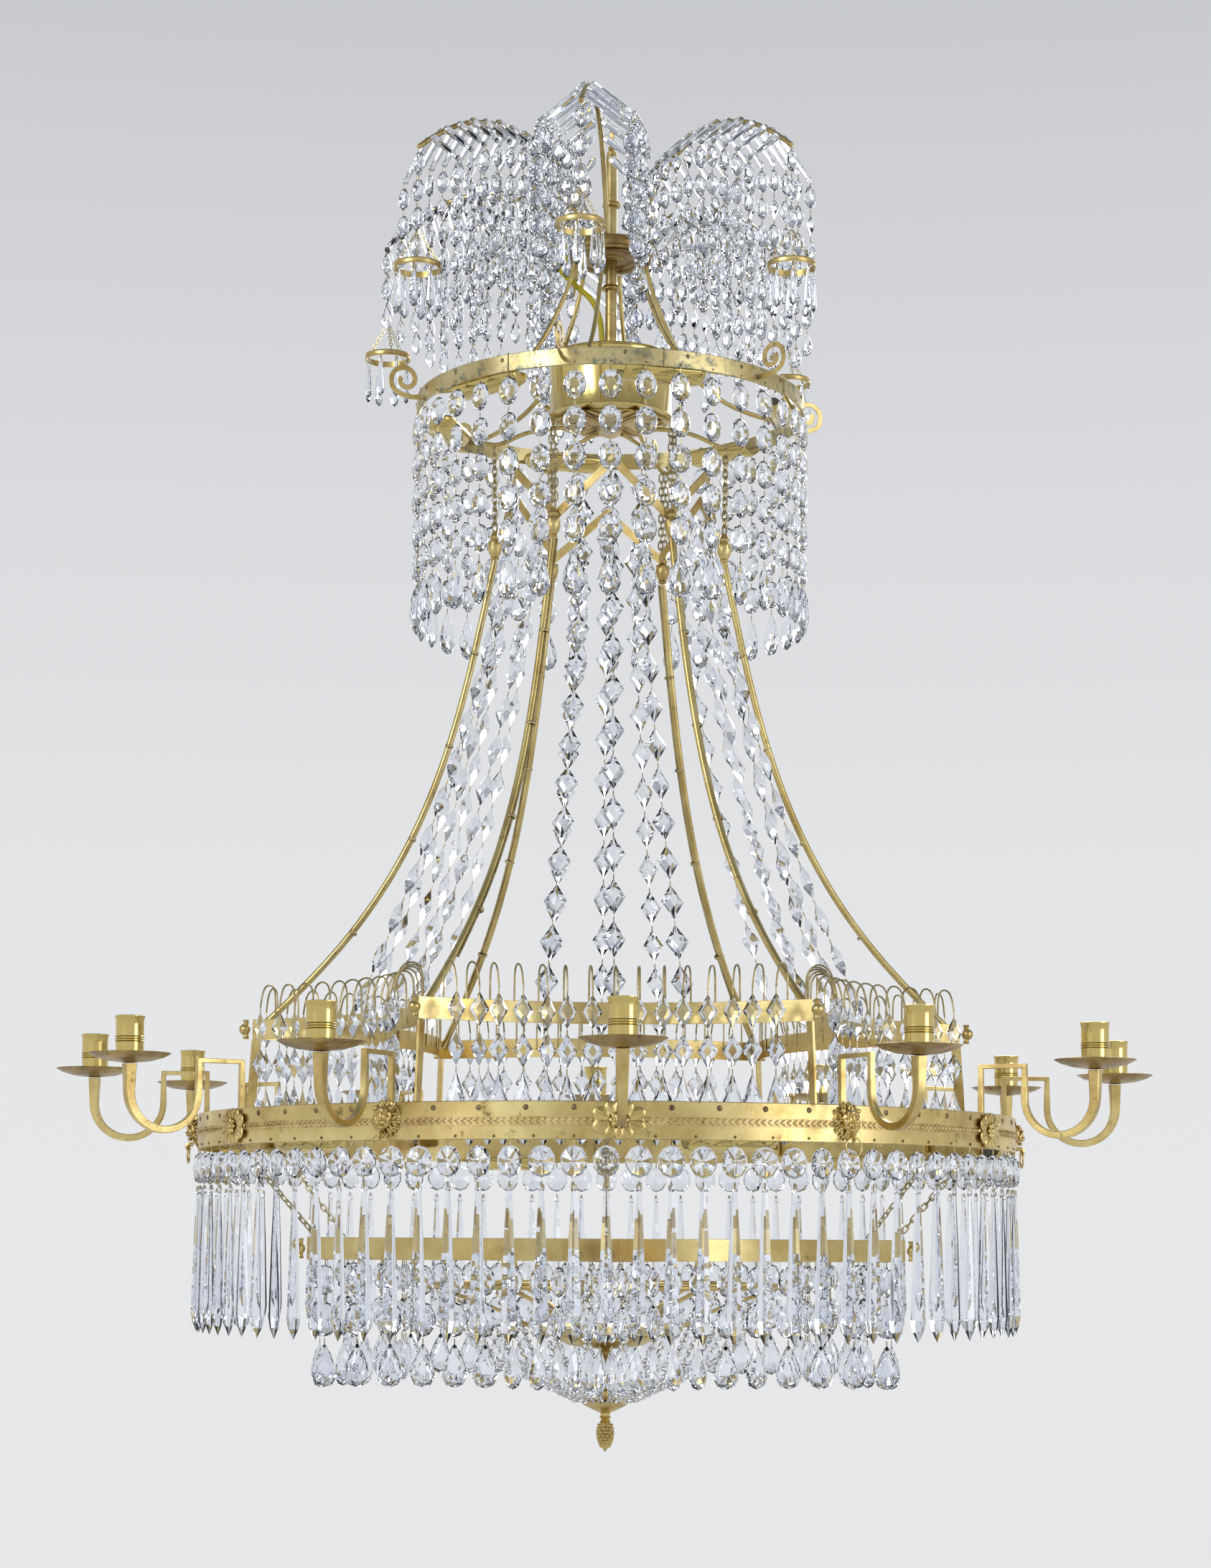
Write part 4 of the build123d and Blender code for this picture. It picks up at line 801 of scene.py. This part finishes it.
# Flat posts from the tier's corners to feet inside the main ring, with a tie near their tops.
low, high = levels("corner_posts")
line = [(TIER_R - 3, 0, high), (TIER_R, 0, (high + low) / 2), (TIER_R + 3, 0, low + 2),
        (TIER_R + 6, 0, low + 1.5), (MAIN_INNER - 7.1, 0, low + 1.5)]
piece("corner_posts_flat", drawn(line, box_section(2.6, 8.8, 0.4), smooth=False), ring_of(SIX, turn=CORNER),
      stands_for=["corner_posts"], smooth=30)
piece("corner_post_ties", tie(4.2, 1.2, 0.6), ring_of(SIX, TIER_R + 1.2, TIER_LOW - 31, CORNER), WIRE,
      smooth=50)

# Wires that stand up inside the tier ring and arch over it to their hooks.
places = []
for solid in solids("arched_wires"):
    tip = max(solid, key=lambda p: p.xy.length if TIER_TOP < p.z < TIER_TOP + 12 else 0)
    roots = [p for p in solid if p.z < TIER_TOP - 5]
    root = sum(roots, Vector()) / len(roots)
    front = Vector((tip.x - root.x, tip.y - root.y, 0)).normalized()
    up = Vector((0, 0, 1))
    places.append(moved(*root) @ framed(front, up.cross(front), up))
line = [(0, 0, 0), (0, 0, 14), (0, 0, 30), (1, 0, 38), (5, 0, 43.2), (12, 0, 43.4), (18, 0, 40),
        (21.5, 0, 33), (23.6, 0, 24), (24.2, 0, 20.6)]
piece("arched_wires_bent", drawn(line, round_section(0.9, 6), steps=2), places, WIRE,
      stands_for=["arched_wires"], smooth=60)

# Three lozenges on every hook of the tier.
strings("tier_drop", "tier_drops", [("first", 34.0), ("second", 34.0), ("third", 50.0)],
        {"first": lozenge(17.5, -3, -33, 8), "second": lozenge(18.5, -3, -33, 8.5),
         "third": lozenge(23, -3, -49, 9, 0.7)})

# ---- main ring
# A broad hoop with a strip of stamped leaves between two fillets, screws above and nails below.
band = spun(band_profile(MAIN_R, MAIN_WALL, MAIN_LOW, MAIN_TOP), 192, closed=True)
piece("main_ring_band", band, HERE, BAND, stands_for=["main_ring"], smooth=30)
z, proud, bed = (MAIN_TOP + MAIN_LOW) / 2 - 0.6, MAIN_R + 0.9, MAIN_R + 0.3
strip = [(MAIN_R - 0.4, z - 3.7), (proud, z - 3.6), (proud, z - 2.9), (bed, z - 2.7), (bed, z + 2.7),
         (proud, z + 2.9), (proud, z + 3.6), (MAIN_R - 0.4, z + 3.7)]
piece("main_ring_strip", spun(strip, 192, closed=True), HERE, LEAFY, smooth=30)
half_leaf = ball((0.9, 2.7, 0.85), 6, 4)
leaf = joined(*[(half_leaf, moved(0, 0, 1.1 * side) @ turned("X", 28 * side)) for side in (1, -1)])
piece("main_ring_leaves", leaf, ring_of(420, MAIN_R + 0.5, z), LEAFY, smooth=60)
piece("main_ring_screws", screw(2.5), ring_of(60, MAIN_R - 0.2, MAIN_TOP - 5.5, 2), SCREW, smooth=40)
piece("main_ring_nails", screw(1.3), ring_of(72, MAIN_R - 0.1, MAIN_LOW + 3, 1), SCREW, smooth=40)


def lock(curl):
    """A tapered lock of the mane, growing along +Z and curling to one side."""
    line = [(0, 0, 0), (1.0, 0.3 * curl, 2.4), (0.7, 1.5 * curl, 4.8), (-0.4, 1.3 * curl, 6.8),
            (-1.8, -0.4 * curl, 8.2)]
    return drawn(line, round_section(1.3, 6), steps=2, sizes=(0.7, 1.15, 1.1, 0.85, 0.25))


def lion_mane():
    """Three rows of locks, the inner ones the most proud."""
    curls = (lock(1), lock(-1))
    mane = []
    for count, begin, size, proud in ((17, 7.0, 0.66, 4.4), (20, 7.8, 0.8, 2.6), (22, 8.6, 0.84, 0.9)):
        for n in range(count):
            way = 360 * (n + 0.5 * (count % 2)) / count
            stretch = 0.86 + 0.22 * abs(math.cos(math.radians(way)))
            place = moved(proud, 0, -0.6) @ turned("X", way) @ Matrix.Diagonal((1, 1, stretch, 1))
            lean = moved(0, 0, begin) @ turned("X", draw_mane.uniform(-14, 14)) @ Matrix.Scale(size, 4)
            mane.append((curls[n % 2], place @ lean))
    return mane


def lion_face():
    """Brow, eyes, nose, muzzle, chin, cheeks and ears, raised on a domed head."""
    middle = [((5.6, 6.6, 8.4), (3.6, 0, -0.6), 18, 12), ((3.0, 4.4, 3.0), (6.9, 0, 3.9), 12, 8),
              ((2.0, 1.25, 3.9), (9.2, 0, 0.6), 12, 8), ((1.5, 2.0, 1.0), (11.2, 0, -2.5), 12, 8),
              ((2.4, 2.3, 1.5), (8.0, 0, -7.9), 12, 8)]
    sides = [((1.5, 2.7, 1.0), (9.2, 2.7, 3.1), -16, 12), ((0.9, 1.3, 0.8), (9.0, 2.7, 1.5), 0, 10),
             ((2.5, 2.2, 1.8), (9.3, 1.9, -4.2), 0, 12), ((2.6, 2.2, 3.2), (6.6, 4.6, -2.0), 0, 12),
             ((1.5, 1.9, 2.3), (5.6, 6.6, 6.0), -38, 12)]
    face = [lump(size, place, 0, u, v) for size, place, u, v in middle]
    for size, (x, y, z), tilt, u in sides:
        face += [lump(size, (x, y, z), tilt, u), lump(size, (x, -y, z), -tilt, u)]
    grow = moved(0.9, 0, 0.4) @ Matrix.Diagonal((1.0, 1.16, 1.14, 1))
    return [(bm, grow @ place) for bm, place in face]


# Lion masks.
back = spun([(0, -0.3), (12.5, -0.3), (12.0, 0.8), (0, 3.4)], 20)
plate = (back, turned("Y", 90) @ Matrix.Diagonal((1.15, 1, 1, 1)))
staple = drawn([(5.6, 0, -13.2), (10.8, 0, -13.2), (12.2, 0, -15.6), (10.8, 0, -17.8), (8.6, 0, -16.4)],
               box_section(1.1, 4.2, 0.2), steps=3)
mask_z = MAIN_TOP - 0.4 * (MAIN_TOP - MAIN_LOW)
piece("lion_masks_chased", joined(*lion_mane(), *lion_face(), plate, staple),
      ring_of(SIX, MAIN_R + 0.4, mask_z, CORNER), stands_for=["lion_masks"], smooth=50)

# Lion rings.
middle_r, wire = 8.1, 0.85
for k in range(SIX):
    node = f"lion_ring_{k + 1}"
    level = levels(node)[1] - (middle_r + wire) * math.cos(math.pi / 8)
    at = out(CORNER + 60 * k, centre_of(node).xy.length, level) @ turned("Y", 90)
    piece(f"{node}_turned", spun(wire_profile(middle_r, wire), 32, closed=True), [at], body=node,
          stands_for=[node], smooth=50)

# Ten ribbed leaves in an oval, round eight small petals and a boss.
wide, tall = 25, 16.5
parts = []
for a in (2 * math.pi * (n + 0.5) / 10 for n in range(10)):
    reach = wide * tall / math.hypot(tall * math.cos(a), wide * math.sin(a))
    y, z, tilt = reach * math.cos(a), reach * math.sin(a), math.degrees(a) - 90
    parts.append(lump((1.7, reach * 0.27, reach * 0.34), (1.9, 0.64 * y, 0.64 * z), tilt, 10, 8))
    parts.append(lump((1.2, 0.7, reach * 0.28), (3.3, 0.6 * y, 0.6 * z), tilt, 6, 6))
for a in (2 * math.pi * n / 8 for n in range(8)):
    place = (3.8, 5.6 * math.cos(a), 4.4 * math.sin(a))
    parts.append(lump((1.8, 2.1, 3.4), place, math.degrees(a) - 90, 8, 6))
parts.append(lump((3.0, 3.6, 3.2), (4.0, 0, 0)))
plate = spun([(0, -0.3), (16, -0.3), (15, 0.9), (0, 1.6)], 24)
parts.append((plate, turned("Y", 90) @ Matrix.Diagonal((0.86, 1.3, 1, 1))))
piece("rosettes_chased", joined(*parts), ring_of(SIX, MAIN_R + 0.4, (MAIN_TOP + MAIN_LOW) / 2, TURN),
      stands_for=["rosettes"], smooth=50)

# Buttons and spears under the main ring.
strings("ring_button", "button_drops", [("button", 33.7)], {"button": star_button(23.5, -4, -31, 10)})
strings("ring_spear", "spear_prisms", [("spear", 134.0)], {"spear": spear(134, 15, 11)}, pin_len=4.0)

# ---- candle arms
# Square bars: up inside the ring, over it in a bracket, down and round a loop to the pan, thicker
# towards the pan.
bracket_z = levels("candle_arms")[1] - ARM_HALF
loop_z, out_r = bracket_z - 29.0, LEG_R + BRACKET_OUT
line = [(LEG_R, 0, MAIN_TOP - 24), (LEG_R, 0, bracket_z), (out_r, 0, bracket_z), (out_r, 0, loop_z + 4)]
sizes = [0.9, 0.9, 0.9, 0.9]
for share in (n / 16 for n in range(17)):
    a = math.pi * (1 + share)
    line.append((out_r + LOOP_R + LOOP_R * math.cos(a), 0, loop_z + LOOP_R * math.sin(a)))
    sizes.append(0.9 + 0.45 * share**1.6)
line += [(CANDLE_R, 0, loop_z + 9), (CANDLE_R, 0, loop_z + 17), (CANDLE_R, 0, PAN_LOW - 0.4)]
sizes += [1.45, 1.56, 1.68]
piece("candle_arms_bent", drawn(line, box_section(6.2, 6.2, 0.6), smooth=False, sizes=sizes),
      ring_of(CANDLES, turn=TURN), stands_for=["candle_arms"], smooth=40)

# Drip pans.
low, top = PAN_LOW, PAN_TOP
dish = [(0, low + 0.2), (6, low + 0.4), (20, low + 2.2), (30, low + 5.2), (34.6, top - 1.2),
        (36, top - 0.3), (35.2, top), (33.6, top - 1), (29, low + 6.4), (19, low + 3.6), (8, low + 2.2),
        (0, low + 2.0)]
piece("drip_pans_spun", spun(dish, 40), ring_of(CANDLES, CANDLE_R, 0, TURN), PAN, stands_for=["drip_pans"],
      smooth=40)

# Turned sleeves with a waist, three beads and a rolled lip, open for a candle.
low, top = levels("candle_nozzles")
sleeve = [(0, low), (9, low), (10.6, low + 1.2), (9.6, low + 2.6), (12, low + 4.4), (12.2, low + 13)]
for z in (low + 14, low + 16, low + 18):
    sleeve += [(12.2, z), (12.8, z + 0.6), (12.2, z + 1.3)]
sleeve += [(12.1, low + 28), (12.3, top - 3), (13, top - 1.6), (13, top - 0.4), (12.4, top), (11, top),
           (11, low + 4), (0, low + 4)]
piece("candle_nozzles_turned", spun(sleeve, 40), ring_of(CANDLES, CANDLE_R, 0, TURN), POLISHED,
      stands_for=["candle_nozzles"], smooth=35)

# ---- lower ring and basket
# The lower ring and its strings of three drops.
piece("lower_ring_band", hollow_band(LOWER_R, 80, 1.5, LOWER_LOW, LOWER_TOP, 30), HERE, BAND,
      stands_for=["lower_ring"], smooth=30)
strings("lower_string", "lower_strings", [("oval", 33.0), ("second", 37.0), ("pear", 44.0)],
        {"oval": oval(20, -4, -31.5, 9), "second": oval(23, -4, -35.5, 10),
         "pear": pear(26, -4, -43.5, 10.5)})

# The hoop, the six arms that carry it and the turned cup that they meet in.
piece("basket_hoop_bent", spun(wire_profile(BASKET_R, 2.9, 10, HOOP_Z), 120, closed=True),
      stands_for=["basket_hoop"], smooth=50)
low, top = levels("basket_cup")
start_r = LOWER_R * math.cos(math.pi / 6) - 80 - 0.8 - SEAT - 2
under = HOOP_Z - 3 - SEAT - 2.4
line = [(start_r, 0, LOWER_LOW + 10), (start_r, 0, LOWER_LOW - 4), (start_r - 6, 0, LOWER_LOW - 14),
        (BASKET_R, 0, under), (BASKET_R - 30, 0, under - 6), (90, 0, under - 22), (60, 0, top - 3),
        (49.0, 0, top - 4)]
piece("basket_arms_bent", drawn(line, box_section(3.6, 3.6, 0.5), steps=3), ring_of(SIX, turn=30),
      stands_for=["basket_arms"], smooth=40)
bowl = [(0, low), (18, low), (22, low + 0.6), (36, low + 3), (45, top - 8), (47.2, top - 5),
        (46.4, top - 3.6), (47.4, top - 1), (46.8, top), (44.5, top), (42, low + 8), (32, low + 5),
        (0, low + 4)]
piece("basket_cup_turned", spun(bowl, 56), stands_for=["basket_cup"], smooth=35)

# Flat buttons along each string, from the hoop down to the leaf dish, smaller towards the dish.
count, pitch = 24, 10.2
dish_z = BASKET_LOW + 3 - 43.0 - 16.0 - 13.0 - 0.6 - 20.0 - 14.0 - 0.6 - 2.5
top_z, foot_r = HOOP_Z - 3 - SEAT - 5 / 6, 24 + SEAT + 2.5
bend_r = BASKET_R - (BASKET_R - foot_r) * 0.62 * 0.55
line = [Vector((BASKET_R, 0, top_z)), Vector((bend_r, 0, top_z + (dish_z - top_z) * 0.62)),
        Vector((foot_r, 0, dish_z))]
upper, lower = line[1] - line[0], line[2] - line[1]
whole = upper.length + lower.length
buttons = []
for place in ring_of(count, turn=7.5):
    gone = 4.0
    while gone < whole - 3:
        size = 1.0 - 0.42 * gone / whole
        if gone < upper.length:
            run, spot = upper, line[0] + upper.normalized() * gone
        else:
            run, spot = lower, line[1] + lower.normalized() * (gone - upper.length)
        turn = turned("Z", 90 + draw_basket.uniform(-16, 16))
        buttons.append(place @ moved(*spot) @ along(run) @ turn @ Matrix.Scale(size, 4))
        gone += pitch * size
piece("basket_string_buttons", cut_stone(ellipse(11.6, 5.2, -5.2, 8), 5.0, 0.45), buttons, CRYSTAL,
      stands_for=["basket_strings"])
piece("basket_string_pins", pin(6.0), [place @ moved(0, 0, 7.6) for place in buttons], WIRE)


def pinecone(top, foot):
    """A turned core with seven rows of pointed scales, each row set between the last one's."""
    core = spun([(0, top), (4.4, top), (6.6, top - 5), (7.0, top - 10), (6, top - 17), (3.6, top - 23.5),
                 (0, foot)], 16)
    cone = [core]
    for row in range(7):
        share = row / 7
        radius = 7.4 * math.sin(math.radians(60 + 95 * share))
        for n in range(9):
            place = out(40 * n + 20 * (row % 2), max(radius - 0.6, 1), top - 4 - 21 * share)
            cone.append((ball((1.9, 2.3, 2.7), 4, 4), place @ turned("Y", 28)))
    return cone


# The stem under the cup with its leafy boss, the leaf dish and the pinecone.
foot, head = levels("finial")
top = head - 13.0 - SEAT
profile = [(0, head), (4, head), (4.8, head - 3), (3.4, head - 6.5), (4.8, head - 10), (4, top + 0.3),
           (8, top - 0.6), (13, top - 4), (15, top - 9), (13, top - 14), (6, top - 19.4), (4, top - 20),
           (4.8, top - 24), (3.4, top - 27), (4.6, top - 31), (4, top - 34.3), (22, top - 34.8),
           (23.8, top - 36), (20, top - 40), (10, top - 45), (4.6, top - 47.4), (4.4, top - 50),
           (5.6, top - 51.4), (3.6, top - 53), (5, top - 55.4), (6, top - 56), (0, top - 56)]
boss = [(ball((2.4, 4.6, 8.0), 8, 6), place @ turned("Y", 12)) for place in ring_of(8, 12.6, top - 9.5)]
dish = [(ball((9.5, 4.6, 1.6), 10, 6), place @ turned("Y", -26)) for place in ring_of(12, 14.5, top - 38)]
piece("finial_turned", joined(spun(profile, 40), *boss, *pinecone(top - 55.6, foot)), stands_for=["finial"],
      smooth=30)
piece("finial_dish_leaves", joined(*dish), material=PAN, smooth=45)

# ---- supply lead
# Out of the tube's side, past the plate's edge and down beside the tube into the drum.
beside = TUBE_R + LEAD_R + SEAT
clear = PLATE_R + 3 * LEAD_R
route = [
    (-beside, 0, TUBE_TOP - 76.0),
    (-beside - 16, -3, TUBE_TOP - 74.5),
    (-clear + 5, -7, PLATE_TOP + 13),
    (-clear - 4, -9, PLATE_TOP - 3),
    (-clear - 2, -8, PLATE_LOW - 8),
    (-beside - 27, -3, PLATE_LOW - 23),
    (-beside - 8, -0.5, PLATE_LOW - 38),
    (-beside, 0, PLATE_LOW - 62),
    (-beside, 0, PLATE_LOW - 98),
    (-beside, 0, DRUM_LOW + 1.8),
]
curve = bpy.data.curves.new("supply_lead_sheath", "CURVE")
curve.dimensions = "3D"
curve.bevel_depth = LEAD_R * MM
curve.bevel_resolution = 4
curve.resolution_u = 16
curve.use_fill_caps = True
spline = curve.splines.new("NURBS")
spline.points.add(len(route) - 1)
for point, (x, y, z) in zip(spline.points, route):
    point.co = (x * MM, y * MM, z * MM, 1)
spline.order_u = 3
spline.use_endpoint_u = True
curve.materials.append(SHEATH)
lead = bpy.data.objects.new("supply_lead_sheath", curve)
bpy.context.scene.collection.objects.link(lead)
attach(lead, "frame")
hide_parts("supply_lead")

# ---- room, light and camera
PALE = linear("#E6E7E9")


def seen_ray(tree):
    """One for a ray that the camera, a gloss or a glass sends, and nought for the light's own."""
    rays = add(tree, "ShaderNodeLightPath").outputs
    both = add(tree, "ShaderNodeMath", [(0, rays["Is Camera Ray"]), (1, rays["Is Transmission Ray"])],
               operation="MAXIMUM")
    return add(tree, "ShaderNodeMath", [(0, both.outputs[0]), (1, rays["Is Glossy Ray"])],
               operation="MAXIMUM").outputs[0]

# Matt pale paint, far below. It keeps a soft shadow and otherwise looks like the backdrop.
paint, tree, shader = new_material("matt_pale_floor_paint")
shader.inputs["Base Color"].default_value = PALE
shader.inputs["Roughness"].default_value = 0.9
glow = add(tree, "ShaderNodeEmission", values=[("Color", PALE), ("Strength", 1.0)])
share = add(tree, "ShaderNodeMath", [(0, seen_ray(tree))], [(1, 0.8)], operation="MULTIPLY")
both = add(tree, "ShaderNodeMixShader", [("Fac", share.outputs[0]), (1, shader.outputs["BSDF"]),
                                         (2, glow.outputs[0])])
tree.links.new(both.outputs[0], tree.nodes["Material Output"].inputs["Surface"])
sheet = bmesh.new()
bmesh.ops.create_grid(sheet, x_segments=1, y_segments=1, size=25.0)
bmesh.ops.translate(sheet, verts=sheet.verts[:], vec=(0, 0, -6.2))
mesh = bpy.data.meshes.new("pale_floor")
sheet.to_mesh(mesh)
mesh.materials.append(paint)
floor = bpy.data.objects.new("pale_floor", mesh)
bpy.context.scene.collection.objects.link(floor)

# A backdrop that is pale at eye level and greyer overhead, and soft light from all sides.
world = bpy.data.worlds.new("studio")
bpy.context.scene.world = world
world.use_nodes = True
sky = world.node_tree
sky.nodes.clear()
way = add(sky, "ShaderNodeSeparateXYZ", [(0, add(sky, "ShaderNodeTexCoord").outputs["Generated"])])
height = add(sky, "ShaderNodeMapRange", [("Value", way.outputs["Z"])],
             [("From Min", 0.0), ("From Max", 0.9)], interpolation_type="SMOOTHSTEP")
tone = add(sky, "ShaderNodeMix", [("Factor", height.outputs["Result"])],
           [(6, PALE), (7, linear("#8B9099"))], data_type="RGBA")
backdrop = add(sky, "ShaderNodeBackground", [("Color", tone.outputs[2])], [("Strength", 1.0)])
room = add(sky, "ShaderNodeBackground", values=[("Color", linear("#FFFFFF")), ("Strength", 0.55)])
blend = add(sky, "ShaderNodeMixShader", [("Fac", seen_ray(sky)), (1, room.outputs[0]),
                                         (2, backdrop.outputs[0])])
add(sky, "ShaderNodeOutputWorld", [("Surface", blend.outputs[0])])


def lamp(name, power, size, place, aim):
    light = bpy.data.lights.new(name, "AREA")
    light.energy = power
    light.shape = "RECTANGLE"
    light.size, light.size_y = size
    made = bpy.data.objects.new(name, light)
    made.location = place
    made.rotation_euler = (Vector(aim) - Vector(place)).to_track_quat("-Z", "Y").to_euler()
    bpy.context.scene.collection.objects.link(made)


# A key light at the left, a fill at the right and a rim from behind.
lamp("key_left", 42, (1.2, 1.8), (-2.2, -2.4, 0.6), (0, 0, -0.6))
lamp("fill_right", 26, (1.4, 1.8), (2.5, -1.8, -0.2), (0, 0, -0.7))
lamp("rim_back", 22, (1.6, 1.0), (0.6, 2.4, 0.9), (0, 0, -0.6))

# From just under the main ring, looking up a little, with the frame shifted up to the crown.
lens = bpy.data.cameras.new("camera")
lens.lens = 68.41
lens.sensor_width = 36
lens.shift_y = 0.177
made = bpy.data.objects.new("camera", lens)
made.location = (0, -2.822, -1.062)
made.rotation_euler = (turned("Z", 0.03) @ turned("X", 90 + 3.4) @ turned("Z", 0.3)).to_euler()
bpy.context.scene.collection.objects.link(made)
bpy.context.scene.camera = made
bpy.context.scene.view_settings.view_transform = "Standard"
